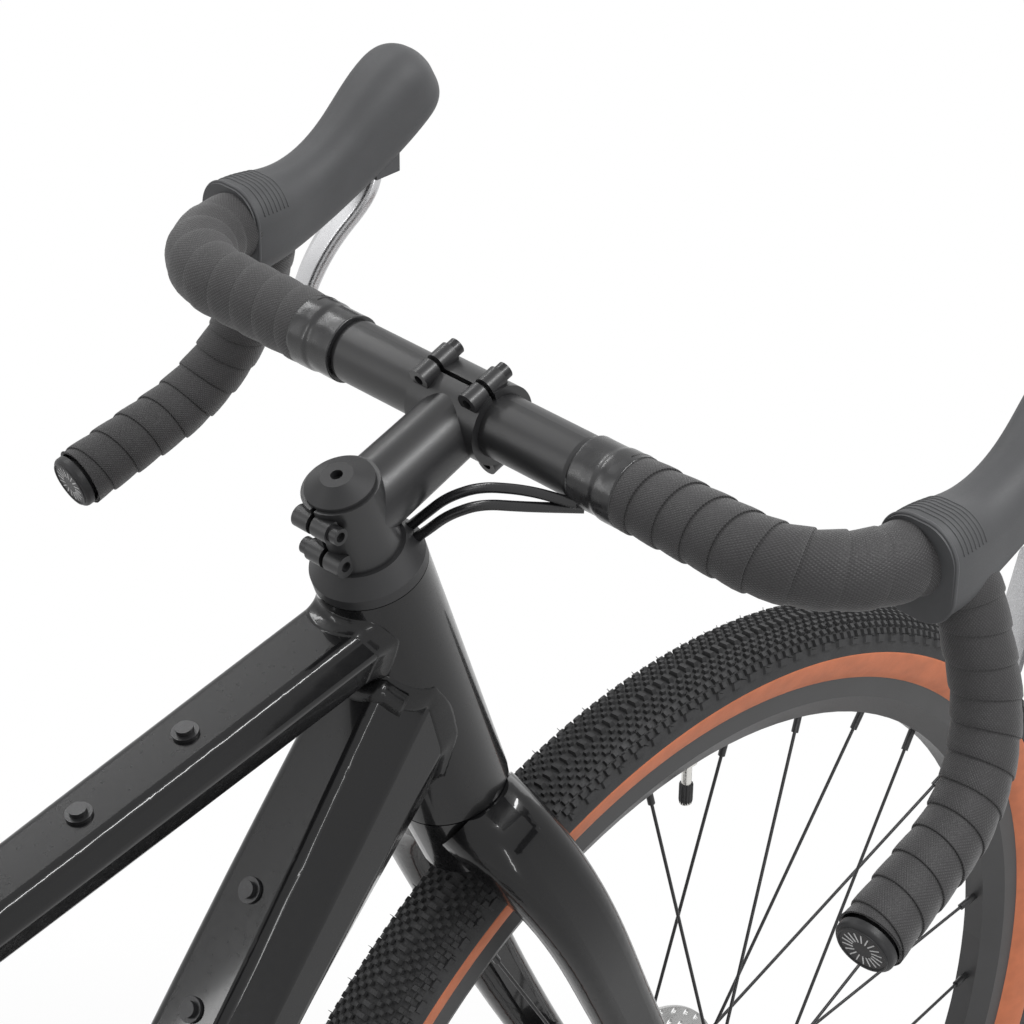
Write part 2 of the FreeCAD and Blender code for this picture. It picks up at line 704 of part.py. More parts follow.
cup_face = S.shell_width / 2
shaped("frame_bearings", Part.makeCompound([
    ring(steering(), S.head_bearing_radius - S.seat_gap, S.head_bearing_bore, S.head_bearing_height),
    ring(steering(HEAD_TOP - STEER_UP * S.head_bearing_height), S.head_bearing_radius - S.seat_gap,
         S.steerer_radius + S.running_fit, S.head_bearing_height),
    ring(leftward(SHELL + Y * cup_face), S.cup_radius, S.spindle_radius + S.running_fit, S.cup_width),
    ring(leftward(SHELL - Y * (cup_face + S.cup_width)), S.cup_radius,
         S.spindle_radius + S.running_fit, S.cup_width),
]))


# Rear triangle

DROPOUT_INNER = S.rear_hub_width / 2
DROPOUT_MIDDLE = DROPOUT_INNER + S.dropout_thickness / 2


# Stay stations from the middle of the bike to the dropout: way along and out, then width and depth
CHAINSTAY_SHARES = ((0.03, 0.32, 1.1, 1.05), (0.19, 0.485, 0.7, 1), (0.5, 0.72, 0.9, 0.8),
                    (0.88, 1, 0.55, 0.6))
SEATSTAY_SHARES = ((0.0, 0.2, 1, 1.2), (0.2, 0.47, 1, 1.1), (0.6, 0.8, 1, 0.9), (0.92, 1, 0.7, 0.8))
STAY_CORNER_SHARE = 0.42


def stay(points, sizes, corner):
    """A rounded box tube through points, with a (width, depth) at each."""
    wires = []
    for index, (point, (width, depth)) in enumerate(zip(points, sizes)):
        before = points[max(index - 1, 0)]
        after = points[min(index + 1, len(points) - 1)]
        level, up = across(after - before, Y)
        rounding = min(corner, STAY_CORNER_SHARE * min(width, depth))
        wires.append(section(point, level, up, width, depth, rounding))
    return lofted(wires)


def stay_pair(start, end, shares, width, depth, corner):
    """Stay solids from a start in the middle plane to the dropout: left side only."""
    points = [start + (end - start) * along + Y * (out * DROPOUT_MIDDLE) for along, out, _, _ in shares]
    sizes = [(wide * width, deep * depth) for _, _, wide, deep in shares]
    return stay(points, sizes, corner)


DROPOUT_ARM_SHARE = 0.1
ARM_END_SHARE = 0.34
HANGER = REAR_AXLE - Vector(S.hanger_back, 0, S.hanger_drop)
stay_top = SHELL + SEAT_UP * S.seatstay_height
EYELET = REAR_AXLE + (stay_top - REAR_AXLE).normalize() * S.eyelet_distance


def dropout(side):
    """A plate round the axle with an arm towards each stay, and on the right the hanger."""
    low = REAR_AXLE + (SHELL - REAR_AXLE) * DROPOUT_ARM_SHARE
    high = REAR_AXLE + (stay_top - REAR_AXLE) * DROPOUT_ARM_SHARE
    base = Y * (DROPOUT_INNER if side > 0 else -DROPOUT_INNER - S.dropout_thickness)
    spots = [(REAR_AXLE, S.dropout_radius), (low, S.chainstay_depth * ARM_END_SHARE),
             (high, S.seatstay_depth * ARM_END_SHARE)]
    arms = [(0, 1), (0, 2), (1, 2)]
    if side < 0:
        spots.append((HANGER, S.knuckle_radius))
        arms.append((0, 3))
    pieces = [Part.makeCylinder(radius, S.dropout_thickness, spot + base, Y) for spot, radius in spots]
    for first, second in arms:
        pieces.append(web(spots[first], spots[second], base, S.dropout_thickness))
    plate = pieces[0].fuse(pieces[1:]).removeSplitter()
    axle = Part.makeCylinder(S.axle_radius + S.seat_gap, S.dropout_thickness, REAR_AXLE + base, Y)
    eyelet = Part.makeCylinder(S.eyelet_radius, S.dropout_thickness, EYELET + base, Y)
    plate = plate.cut(axle).cut(eyelet)
    if side < 0:
        bolt = Part.makeCylinder(S.boss_shank_radius + S.seat_gap, S.dropout_thickness, HANGER + base, Y)
        plate = plate.cut(bolt)
    return one_solid(plate)


def web(first, second, base, thickness):
    """The flat bar that is tangent to two round ends of a plate."""
    (start, radius1), (end, radius2) = first, second
    span = end - start
    length = span.Length
    lean = math.asin((radius1 - radius2) / length)
    along = span.normalize()
    side = Vector(-along.z, 0, along.x)
    points = []
    for sign in (1, -1):
        normal = side * (sign * math.cos(lean)) + along * math.sin(lean)
        ends = [start + normal * radius1, end + normal * radius2]
        points.extend(ends if sign > 0 else reversed(ends))
    outline = Part.makePolygon([point + base for point in points + points[:1]])
    return Part.Face(outline).extrude(Y * thickness)


dropout_left = dropout(1)
dropout_right = dropout(-1)
dropouts_both = Part.makeCompound([dropout_left, dropout_right])
shaped("dropouts", dropouts_both)

chainstay = stay_pair(SHELL, REAR_AXLE, CHAINSTAY_SHARES, S.chainstay_width, S.chainstay_depth,
                      S.chainstay_corner)
seatstay = stay_pair(stay_top, REAR_AXLE, SEATSTAY_SHARES, S.seatstay_width, S.seatstay_depth,
                     S.seatstay_corner)
shaped("chainstays", Part.makeCompound([
    one_solid(solid.cut(shell_core).cut(dropouts_both)) for solid in (chainstay, mirrored(chainstay))]))
shaped("seatstays", Part.makeCompound([
    one_solid(solid.cut(seat_core).cut(dropouts_both)) for solid in (seatstay, mirrored(seatstay))]))


def thru_axle(centre, span):
    """A round axle with a head on the right, through both ends of its fork."""
    start = centre - Y * (worth(span) / 2 + S.axle_head_length)
    return joined([cylinder(leftward(start), "axle_head_radius", "axle_head_length"),
                   cylinder(leftward(start), "axle_radius", "axle_head_length + " + span)])


node("rear_axle", thru_axle(REAR_AXLE, "rear_hub_width + 2 * dropout_thickness"))


# Seat clamp, post and saddle

def seat_frame(along):
    return Placement(SHELL + SEAT_UP * along, SEAT_TILT)


clamp_foot = S.seat_tube_length - S.seat_clamp_height
clamp_out = S.seat_tube_radius + S.seat_clamp_wall
lug_back = Placement(SHELL + SEAT_UP * clamp_foot - SEAT_TILT.multVec(X) * clamp_out
                     - SEAT_TILT.multVec(X) * S.clamp_head_radius - Y * S.clamp_head_radius * 2, SEAT_TILT)
slit_start = Placement(lug_back.Base + Y * (S.clamp_head_radius * 2 - S.seat_clamp_slot / 2)
                       - SEAT_UP * S.overrun, SEAT_TILT)
bolt_start = Placement(SHELL + SEAT_UP * (clamp_foot + S.seat_clamp_height / 2)
                       - SEAT_TILT.multVec(X) * clamp_out - Y * S.clamp_head_radius * 2, TO_LEFT)
seat_collar = cut(
    joined([cylinder(seat_frame(clamp_foot), "seat_tube_radius + seat_clamp_wall", "seat_clamp_height"),
            box(lug_back, "2 * clamp_head_radius", "4 * clamp_head_radius", "seat_clamp_height")]),
    [cylinder(seat_frame(clamp_foot - S.overrun), "seat_tube_radius + seat_gap",
              "seat_clamp_height + 2 * overrun"),
     box(slit_start, "3 * clamp_head_radius", "seat_clamp_slot", "seat_clamp_height + 2 * overrun")])
seat_bolt = cylinder(bolt_start, "clamp_bolt_radius", "4 * clamp_head_radius + clamp_head_height")
bolt_head_place = Placement(bolt_start.Base + Y * S.clamp_head_radius * 4, TO_LEFT)
seat_bolt_head = cylinder(bolt_head_place, "clamp_head_radius", "clamp_head_height")
node("seat_clamp", joined([seat_collar, seat_bolt, seat_bolt_head]))

post_foot = S.seat_tube_length - S.seat_post_insert
POST_TOP = SHELL + SEAT_UP * (post_foot + S.seat_post_length)
RAIL_CENTRE = POST_TOP + Z * (S.post_head_height / 2)
head_corner = RAIL_CENTRE - Vector(S.post_head_length / 2, S.rail_spacing / 2 + S.rail_radius * 2,
                                   S.post_head_height / 2)
rail_line = X * (S.post_head_length / 2 + S.overrun)
rail_bores = [cylinder(Placement(RAIL_CENTRE - rail_line + Y * (side * S.rail_spacing / 2), Rotation(Y, 90)),
                       "rail_radius + seat_gap", "post_head_length + 2 * overrun") for side in (1, -1)]
post_tube = cut(cylinder(seat_frame(post_foot), "seat_post_radius",
                         "seat_post_length + post_head_height / 2"),
                [cylinder(seat_frame(post_foot - S.overrun), "seat_post_radius - seat_post_wall",
                          "seat_post_length")])
node("seatpost", cut(joined([post_tube, box(Placement(head_corner, Rotation()), "post_head_length",
                                            "rail_spacing + 4 * rail_radius", "post_head_height")]),
                     rail_bores))

# Saddle sections from nose to tail: place along, width, height of the crown and depth, each a share
SADDLE_SHARES = ((0.0, 0.2, 0.86, 0.5), (0.1, 0.27, 0.95, 0.75), (0.34, 0.33, 0.94, 0.9),
                 (0.6, 0.56, 0.95, 1), (0.8, 0.94, 1.02, 1), (0.93, 0.98, 1.06, 0.85), (1.0, 0.72, 1.02, 0.5))
SADDLE_OUTLINE_SHARES = ((-0.4, -0.5), (0.4, -0.5), (0.5, -0.1), (0.3, 0.42), (0, 0.5), (-0.3, 0.42),
                         (-0.5, -0.1))
SADDLE_CORNER_SHARE = 0.18
SADDLE_NOSE = RAIL_CENTRE + Vector(S.saddle_length / 2 - S.saddle_setback, 0, S.rail_drop)


def saddle_section(along, wide, high, deep):
    top = SADDLE_NOSE + Vector(-along * S.saddle_length, 0, high * S.saddle_depth)
    depth = deep * S.saddle_depth
    corner = min(S.saddle_edge, depth * SADDLE_CORNER_SHARE)
    return section(top - Z * depth / 2, Y, Z, wide * S.saddle_width, depth, corner, SADDLE_OUTLINE_SHARES)


saddle = lofted([saddle_section(*shares) for shares in SADDLE_SHARES])

RAIL_SHARES = ((0.40, 1.0), (0.24, 0.0), (-0.26, 0.0), (-0.40, 1.0))


def rail(side):
    """One rail: along the clamp and up into the shell at both ends."""
    points = []
    for along, rise in RAIL_SHARES:
        points.append(RAIL_CENTRE + Vector(along * S.saddle_length - S.saddle_setback * (rise > 0), 0,
                                           rise * S.rail_drop * 2) + Y * (side * S.rail_spacing / 2))
    return swept(route(points, [S.rail_bend, S.rail_bend]), S.rail_radius)


shaped("saddle_rails", Part.makeCompound([one_solid(rail(side).cut(saddle)) for side in (1, -1)]))
shaped("saddle_cover", saddle)


# Fork

# Leg stations down from the crown: drop, way forward and spread, then depth and width, each a share
FORK_LEG_SHARES = ((0.035, 0.0, 0.26, 1.1, 1.2), (0.085, 0.03, 0.68, 1.06, 1.16),
                   (0.18, 0.12, 0.96, 0.94, 0.86), (0.36, 0.25, 1.04, 0.82, 0.74),
                   (0.66, 0.52, 1.02, 0.66, 0.62), (0.84, 0.75, 1, 0.57, 0.48), (1.0, 1.0, 1, 0.5, 0.34))
CROWN_FOOT_SHARE = 0.86
FORK_CORNER_SHARE = 0.46
FORK_DROP = math.sqrt(S.fork_length ** 2 - S.fork_offset ** 2)


def fork_leg():
    """The left leg, swelling into the crown and slimming to the axle."""
    points = [Vector(ahead * S.fork_offset, out * S.fork_leg_spread, -drop * FORK_DROP)
              for drop, ahead, out, _, _ in FORK_LEG_SHARES]
    wires = []
    for index, (point, shares) in enumerate(zip(points, FORK_LEG_SHARES)):
        before = points[max(index - 1, 0)]
        after = points[min(index + 1, len(points) - 1)]
        along = (after - before).normalize()
        front = (X - along * X.dot(along)).normalize()
        depth = shares[3] * S.fork_leg_depth
        width = shares[4] * S.fork_leg_width
        corner = FORK_CORNER_SHARE * min(depth, width)
        wires.append(section(point, front, along.cross(front), depth, width, corner))
    return lofted(wires)


def fork_shape():
    """Steerer, crown, two legs and axle eyes as one solid, in line with the steering axis."""
    top = S.head_tube_length + S.cover_height + S.stem_clamp_height - S.top_cap_height / 2
    foot = -S.crown_gap
    steerer = Part.makeCylinder(S.steerer_radius, top - foot, Vector(0, 0, foot))
    taper = Part.makeCone(S.steerer_low_radius, S.steerer_radius, S.head_tube_length / 2, Vector(0, 0, foot))
    crown = Part.makeCone(S.head_tube_low_radius, S.head_tube_low_radius * CROWN_FOOT_SHARE,
                          S.crown_height - S.crown_gap, Vector(0, 0, foot), Z * -1)
    above = Part.makeCylinder(2 * S.fork_leg_spread, S.head_tube_length, Vector(0, 0, foot))
    leg = fork_leg().cut(above)
    axle = Vector(S.fork_offset, 0, -FORK_DROP)
    hub_half = Y * (S.front_hub_width / 2)
    reach = hub_half + Y * (S.fork_end_width + S.overrun)
    eye = Part.makeCylinder(S.fork_eye_radius, S.fork_end_width, axle + hub_half, Y)
    whole = steerer.fuse([taper, crown, leg, mirrored(leg), eye, mirrored(eye)])
    bore = rod(axle - reach, axle + reach, S.axle_radius + S.seat_gap)
    room = rod(axle - hub_half, axle + hub_half, S.fork_eye_radius + S.overrun)
    return one_solid(whole.cut(bore).cut(room))


fork_solid = fork_shape()
shaped("fork", fork_solid, steering())
node("front_axle", thru_axle(FRONT_AXLE, "front_hub_width + 2 * fork_end_width"))


# Headset cover, stem and top cap

cover_body = turned("headset_cover_body", (
    ("steerer_radius + seat_gap", "body_gap"), ("head_tube_top_radius", "body_gap"),
    ("head_tube_top_radius", "cover_lip"), ("cover_top_radius", "cover_height"),
    ("steerer_radius + seat_gap", "cover_height")), steering(HEAD_TOP))

TO_AHEAD = HEAD_TILT.multiply(Rotation(Y, 90))
neck = cone(Placement(on_steering(0, 0, S.stem_clamp_height / 2), TO_AHEAD), "stem_neck_radius",
            "stem_neck_thin", "stem_length")
steer_clamp = cylinder(steering(STEM_FOOT), "stem_clamp_radius", "stem_clamp_height")
bar_left = BAR_CENTRE - Y * (S.face_width / 2)
bar_ring = cylinder(leftward(bar_left), "bar_clamp_radius + face_wall", "face_width")
rear_lugs = [cylinder(leftward(on_steering(-S.stem_clamp_radius, -S.stem_lug_length - S.stem_slot / 2,
                                           S.stem_clamp_height / 2 + side * S.stem_lug_spacing / 2)),
                      "stem_lug_radius", "2 * stem_lug_length + stem_slot") for side in (1, -1)]
LUG_RISE = S.bar_clamp_radius + S.face_wall
FACE_CORNERS = [(side, rise) for side in (1, -1) for rise in (1, -1)]


def face_bolt_place(side, rise, ahead):
    return Placement(BAR_CENTRE + STEER_AHEAD * ahead + Y * (side * S.face_bolt_spread / 2)
                     + STEER_UP * (rise * LUG_RISE), TO_AHEAD)


face_lugs = [cylinder(face_bolt_place(side, rise, -S.face_lug_length), "stem_lug_radius", "face_lug_length")
             for side, rise in FACE_CORNERS]
stem_slit = box(Placement(on_steering(-S.stem_clamp_radius * 2, -S.stem_slot / 2, -S.overrun), HEAD_TILT),
                "2 * stem_clamp_radius", "stem_slot", "stem_clamp_height + 2 * overrun")
steerer_bore = cylinder(steering(STEM_FOOT - STEER_UP * S.overrun), "steerer_radius + seat_gap",
                        "stem_clamp_height + 2 * overrun")
bar_bore = cylinder(leftward(bar_left - Y * S.overrun), "bar_clamp_radius + seat_gap",
                    "face_width + 2 * overrun")
FACE_ROOM = S.face_width + S.overrun
front_room = box(Placement(BAR_CENTRE - STEER_AHEAD * (S.face_gap / 2) - Y * FACE_ROOM - STEER_UP * FACE_ROOM,
                           HEAD_TILT),
                 "face_width", "2 * (face_width + overrun)", "2 * (face_width + overrun)")
face_holes = [cylinder(face_bolt_place(side, rise, -S.face_lug_length - S.overrun),
                       "clamp_bolt_radius + seat_gap", "face_lug_length + 2 * overrun")
              for side, rise in FACE_CORNERS]
clamp_holes = [cylinder(leftward(on_steering(-S.stem_clamp_radius, -S.stem_lug_length * 2,
                                             S.stem_clamp_height / 2 + side * S.stem_lug_spacing / 2)),
                        "clamp_bolt_radius + seat_gap", "4 * stem_lug_length") for side in (1, -1)]
node("stem", cut(joined([neck, steer_clamp, bar_ring] + rear_lugs + face_lugs),
                 [stem_slit, steerer_bore, bar_bore, front_room] + face_holes + clamp_holes))

plate_lugs = [cylinder(face_bolt_place(side, rise, 0), "stem_lug_radius", "face_lug_length")
              for side, rise in FACE_CORNERS]
plate_holes = [cylinder(face_bolt_place(side, rise, -S.overrun), "clamp_bolt_radius + seat_gap",
                        "face_lug_length + 2 * overrun") for side, rise in FACE_CORNERS]
head_rooms = [cylinder(face_bolt_place(side, rise, S.face_lug_length), "clamp_head_radius + seat_gap",
                       "face_lug_length") for side, rise in FACE_CORNERS]
back_room = box(Placement(BAR_CENTRE + STEER_AHEAD * (S.face_gap / 2 - S.face_width) - Y * FACE_ROOM
                          - STEER_UP * FACE_ROOM, HEAD_TILT),
                "face_width", "2 * (face_width + overrun)", "2 * (face_width + overrun)")
plate_ring = cylinder(leftward(bar_left), "bar_clamp_radius + face_wall", "face_width")
plate_bore = cylinder(leftward(bar_left - Y * S.overrun), "bar_clamp_radius + seat_gap",
                      "face_width + 2 * overrun")
node("stem_faceplate", cut(joined([plate_ring] + plate_lugs),
                           [back_room, plate_bore] + plate_holes + head_rooms))


def socket_bolt(start, direction, length):
    """A socket-head bolt with its head at start and its shank along direction."""
    head = Part.makeCylinder(S.clamp_head_radius, S.clamp_head_height, start, direction * -1)
    shank = Part.makeCylinder(S.clamp_bolt_radius, length, start, direction)
    socket = Part.makeCylinder(S.clamp_bolt_radius, S.clamp_head_height / 2,
                               start - direction * S.clamp_head_height, direction)
    return head.fuse(shank).cut(socket)


def stem_bolt_shapes():
    bolts = []
    for side, rise in FACE_CORNERS:
        start = face_bolt_place(side, rise, S.face_lug_length).Base
        bolts.append(socket_bolt(start, STEER_AHEAD * -1, 2 * S.face_lug_length - S.overrun))
    for side in (1, -1):
        start = on_steering(-S.stem_clamp_radius, -side * (S.stem_lug_length + S.stem_slot / 2),
                            S.stem_clamp_height / 2 + side * S.stem_lug_spacing / 2)
        bolts.append(socket_bolt(start, Y * side, 2 * S.stem_lug_length))
    return bolts


shaped("stem_bolts", Part.makeCompound(stem_bolt_shapes()))

cap_body = turned("top_cap", (
    ("0", "0"), ("top_cap_radius", "0"), ("top_cap_radius", "top_cap_height / 4"),
    ("top_cap_crown", "top_cap_height"), ("hex_key / 2", "top_cap_height"),
    ("hex_key / 2", "top_cap_height - hex_depth"), ("0", "top_cap_height - hex_depth")),
    steering(STEM_FOOT + STEER_UP * S.stem_clamp_height))
node("top_cap", cap_body)


# Handlebar, tape and plugs

BAR_TOE_SHARE = 0.12
BAR_RADII = [S.bar_bend_radius, S.bar_front_radius, S.bar_drop_radius]


def bar_points():
    """The left half of the bar's middle line, from the clamp to the end of the drop."""
    flare = (S.bar_end_half - S.bar_half_width) / (S.bar_end_low - S.bar_ramp)
    foot = S.bar_half_width + flare * (S.bar_drop - S.bar_ramp)
    corners = (Vector(0, 0, 0), Vector(0, S.bar_half_width - BAR_TOE_SHARE * S.bar_reach, 0),
               Vector(S.bar_reach, S.bar_half_width, -S.bar_ramp), Vector(S.bar_reach, foot, -S.bar_drop),
               Vector(-S.bar_end_back, S.bar_end_half, -S.bar_end_low))
    return [BAR_CENTRE + corner for corner in corners]


def bar_route(start):
    """The left half's route from a distance beside the middle plane."""
    points = bar_points()
    points[0] = BAR_CENTRE + Y * start
    return route(points, BAR_RADII)


def bar_shape():
    """A tube with a thick middle, bent to both drops."""
    half = swept(bar_route(0), S.bar_radius)
    hollow = swept(bar_route(0), S.bar_radius - S.bar_wall)
    middle = rod(BAR_CENTRE - Y * S.bar_clamp_half, BAR_CENTRE + Y * S.bar_clamp_half, S.bar_clamp_radius)
    tapers = [Part.makeCone(S.bar_clamp_radius, S.bar_radius, S.bar_taper,
                            BAR_CENTRE + Y * (side * S.bar_clamp_half), Y * side) for side in (1, -1)]
    solid = half.fuse([mirrored(half), middle] + tapers)
    return one_solid(solid.cut(hollow).cut(mirrored(hollow)))


bar_solid = bar_shape()
shaped("handlebar", bar_solid)

# Hoods: stations from the back edge to the tip, as shares of the hood's length, rise, width and depth
HOOD_SHARES = ((0.0, 0.0, 1.0, 1.0), (0.18, 0.01, 0.98, 0.96), (0.4, 0.1, 0.79, 0.83),
               (0.62, 0.37, 0.79, 0.87), (0.8, 0.7, 0.93, 0.96), (0.93, 0.93, 0.98, 0.88),
               (1.0, 1.03, 0.6, 0.56))
HOOD_LOW_SHARE = 0.16


def hood_point(along, rise):
    """A place on the middle line of the left hood."""
    return BAR_CENTRE + Vector(S.hood_back + along * S.hood_length, S.bar_half_width,
                               rise * S.hood_rise - HOOD_LOW_SHARE * S.hood_depth)


def hood_body():
    points = [hood_point(along, rise) for along, rise, _, _ in HOOD_SHARES]
    wires = []
    for index, (point, shares) in enumerate(zip(points, HOOD_SHARES)):
        before = points[max(index - 1, 0)]
        after = points[min(index + 1, len(points) - 1)]
        level, up = across(after - before, Y)
        width = shares[2] * S.hood_width
        depth = shares[3] * S.hood_depth
        wires.append(section(point, level, up, width, depth, S.hood_corner_share * min(width, depth)))
    return lofted(wires)


LEVER_PIVOT = BAR_CENTRE + Vector(S.lever_forward, S.bar_half_width, S.lever_height)
BRACKET_SHARES = (0.95, 0.9)
slot_width = S.lever_width + 4 * S.body_gap
bracket_half = slot_width / 2 + S.lever_pin_radius + S.bar_wall
bracket_reach = S.lever_thickness * BRACKET_SHARES[0]
bracket_low = S.lever_thickness / 2 + S.body_gap
bracket = Part.makeBox(2 * bracket_reach, 2 * bracket_half, bracket_low + S.hood_depth / 2,
                       LEVER_PIVOT - Vector(bracket_reach, bracket_half, bracket_low))
slot_back = S.lever_thickness * BRACKET_SHARES[1]
slot_roof = S.lever_thickness / 2 + S.body_gap
lever_slot = Part.makeBox(S.lever_length, slot_width, S.hood_depth + slot_roof,
                          LEVER_PIVOT - Vector(slot_back, slot_width / 2, S.hood_depth))
pin_half = slot_width / 2 + S.lever_pin_radius
lever_pin = rod(LEVER_PIVOT - Y * pin_half, LEVER_PIVOT + Y * pin_half, S.lever_pin_radius)


TAPE_TOP_SHARE = 0.58


def taped_bar(gap):
    """The left half of the bar with its tape: thicker on the tops, over the hoses."""
    points = bar_points()
    points[0] = BAR_CENTRE + Y * S.tape_start
    top_end = points[1] + (points[2] - points[1]) * TAPE_TOP_SHARE
    tops = swept(route(points[:2] + [top_end], BAR_RADII[:1]), S.tape_top_radius + gap)
    return tops.fuse(swept(bar_route(S.tape_start), S.tape_radius + gap))


hood_left = one_solid(hood_body().fuse(bracket).cut(taped_bar(S.seat_gap)).cut(lever_slot))
hood_left = one_solid(hood_left.fuse(lever_pin))
shaped("left_hood", hood_left)
shaped("right_hood", mirrored(hood_left))

taper_room = Part.makeCone(S.bar_clamp_radius + S.seat_gap, S.bar_radius + S.seat_gap, S.bar_taper,
                           BAR_CENTRE + Y * S.bar_clamp_half, Y)
bar_room = swept(bar_route(0), S.bar_radius + S.seat_gap)
tape_left = one_solid(taped_bar(0).cut(bar_room).cut(taper_room))
shaped("left_bar_tape", tape_left)
shaped("right_bar_tape", mirrored(tape_left))


PLUG_EDGE_SHARE = 0.5


def end_plug():
    """A cap with a rounded rim on the end of the left drop, and its stem inside the bar."""
    points = bar_points()
    along = (points[-1] - points[-2]).normalize()
    head = Part.makeCylinder(S.plug_radius, S.plug_length, points[-1], along)
    outer_rim = max(head.Edges, key=lambda edge: edge.CenterOfMass.dot(along))
    stem_radius = S.bar_radius - S.bar_wall - S.seat_gap
    stem = Part.makeCylinder(stem_radius, S.plug_stem_length, points[-1], along * -1)
    return head.makeFillet(S.plug_length * PLUG_EDGE_SHARE, [outer_rim]).fuse(stem)


shaped("bar_end_plugs", both_sides(end_plug()))

# Lever blade from the pivot to the tip: way forward, out, down, width and thickness, each a share
LEVER_SHARES = ((0.0, 0.0, 0.0, 1, 0.8), (-0.03, 0.0, 0.11, 1, 0.9), (-0.12, 0.08, 0.3, 1, 1),
                (-0.23, 0.19, 0.64, 0.9, 0.85), (-0.2, 0.25, 0.95, 0.75, 0.6))
LEVER_CORNER_SHARE = 0.4


def lever_point(shares):
    ahead, out, down = shares[:3]
    return LEVER_PIVOT + Vector(ahead, out, -down) * S.lever_length


def lever_blade():
    """The left lever: a round head on the pin and a blade that sweeps down and out."""
    points = [lever_point(shares) for shares in LEVER_SHARES]
    wires = []
    for index, (point, shares) in enumerate(zip(points, LEVER_SHARES)):
        before = points[max(index - 1, 0)]
        after = points[min(index + 1, len(points) - 1)]
        level, front = across(after - before, Y)
        width = shares[3] * S.lever_width
        thickness = shares[4] * S.lever_thickness
        wires.append(section(point, level, front, width, thickness, LEVER_CORNER_SHARE * thickness))
    half = Y * (S.lever_width / 2)
    head = rod(LEVER_PIVOT - half, LEVER_PIVOT + half, S.lever_thickness / 2)
    bore = rod(LEVER_PIVOT - half * 2, LEVER_PIVOT + half * 2, S.lever_pin_radius + S.running_fit)
    return one_solid(lofted(wires).fuse(head).cut(bore))


def paddle_frame():
    """The shift paddle's pivot, the way down its length and the way back from the lever."""
    high = lever_point(LEVER_SHARES[2])
    low = lever_point(LEVER_SHARES[3])
    along = Vector(low.x - high.x, 0, low.z - high.z).normalize()
    back = Y.cross(along)
    return high, along, back if back.x < 0 else back * -1


paddle_pivot, paddle_along, paddle_back = paddle_frame()
PADDLE_INSET_SHARE = 0.55
PADDLE_PIN_SHARE = 0.2
PADDLE_CLEAR = 5 * S.body_gap


def paddle_shape():
    """A flat paddle behind the blade, on a pin that runs into it."""
    front = paddle_pivot + paddle_back * (S.lever_thickness / 2 + PADDLE_CLEAR)
    half = S.paddle_width / 2
    side = Y * -half
    top = front - paddle_along * half
    foot = top + paddle_along * S.paddle_length
    outline = rounded_outline([top - side, top + side, foot + side, foot - side], half * PADDLE_INSET_SHARE)
    plate = Part.Face(outline).extrude(paddle_back * S.paddle_thickness)
    pin = rod(front, paddle_pivot - paddle_back * (S.lever_thickness * PADDLE_PIN_SHARE), S.lever_pin_radius)
    return one_solid(plate.fuse(pin))


paddle_bore = rod(paddle_pivot + paddle_back * S.lever_thickness,
                  paddle_pivot - paddle_back * (S.lever_thickness * PADDLE_PIN_SHARE + S.body_gap),
                  S.lever_pin_radius + S.running_fit)
lever_left = lever_blade()
shaped("left_brake_lever", lever_left)
shaped("right_brake_lever", mirrored(one_solid(lever_left.cut(paddle_bore))))
shaped("right_shift_paddle", mirrored(paddle_shape()))


# Hoses from the headset cover to the right tape: places ahead of, beside and above the bar clamp
HOSE_ROUTES = (
    (Vector(-59.5, -4, -28), Vector(-52, -13, -19.5), Vector(-44.5, -26, -6.5), Vector(-36, -43, 2.5),
     Vector(-25.5, -63, 1.5), Vector(-16.2, -84.4, -4.5)),
    (Vector(-63, -10, -29.5), Vector(-57, -18.5, -22.5), Vector(-50, -31, -10.5), Vector(-41.5, -47, -2),
     Vector(-30, -66, -4), Vector(-13, -83.9, -10.6)),
)
BEND_SHARE = 0.45


def hose_path(points):
    """A hose's middle line, with each bend as wide as its runs allow."""
    places = [on_steering(*point, BAR_CENTRE) for point in points]
    radii = []
    for before, corner, after in zip(places, places[1:], places[2:]):
        turn = (corner - before).getAngle(after - corner)
        run = min((corner - before).Length, (after - corner).Length)
        radii.append(BEND_SHARE * run / math.tan(turn / 2))
    print("hose bend radii", [round(radius, 1) for radius in radii])
    return route(places, radii)


hose_paths = [hose_path(points) for points in HOSE_ROUTES]
shaped("control_hoses", Part.makeCompound([swept(path, S.hose_radius) for path in hose_paths]))
hose_room = doc.addObject("Part::Feature", "HoseRoom")
hose_room.Shape = Part.makeCompound([swept(path, S.hose_radius + S.seat_gap) for path in hose_paths])
node("headset_cover", cut(cover_body, [hose_room]))


# Calipers

def caliper(axle, out, along, neighbour):
    """A rounded body bridged over the rotor's rim, seated on the fork leg or stay behind it."""
    away = Vector(along).normalize()
    side = Y.cross(away)
    foot = S.caliper_reach - S.caliper_length / 2
    corner = axle + away * foot - side * (S.caliper_depth / 2) + Y * (out - S.caliper_inner)
    turn = Rotation(side, Y, away, "ZXY")
    block = Part.makeBox(S.caliper_depth, S.caliper_width, S.caliper_length)
    block = block.makeFillet(S.caliper_edge, block.Edges)
    slot_height = S.rotor_radius + 2 * S.overrun - foot
    slot = Part.makeBox(S.caliper_depth + 2 * S.overrun, S.caliper_slot, slot_height,
                        Vector(-S.overrun, S.caliper_inner - S.caliper_slot / 2, -S.overrun))
    body = block.cut(slot)
    body.Placement = Placement(corner, turn)
    return one_solid(body.cut(neighbour))


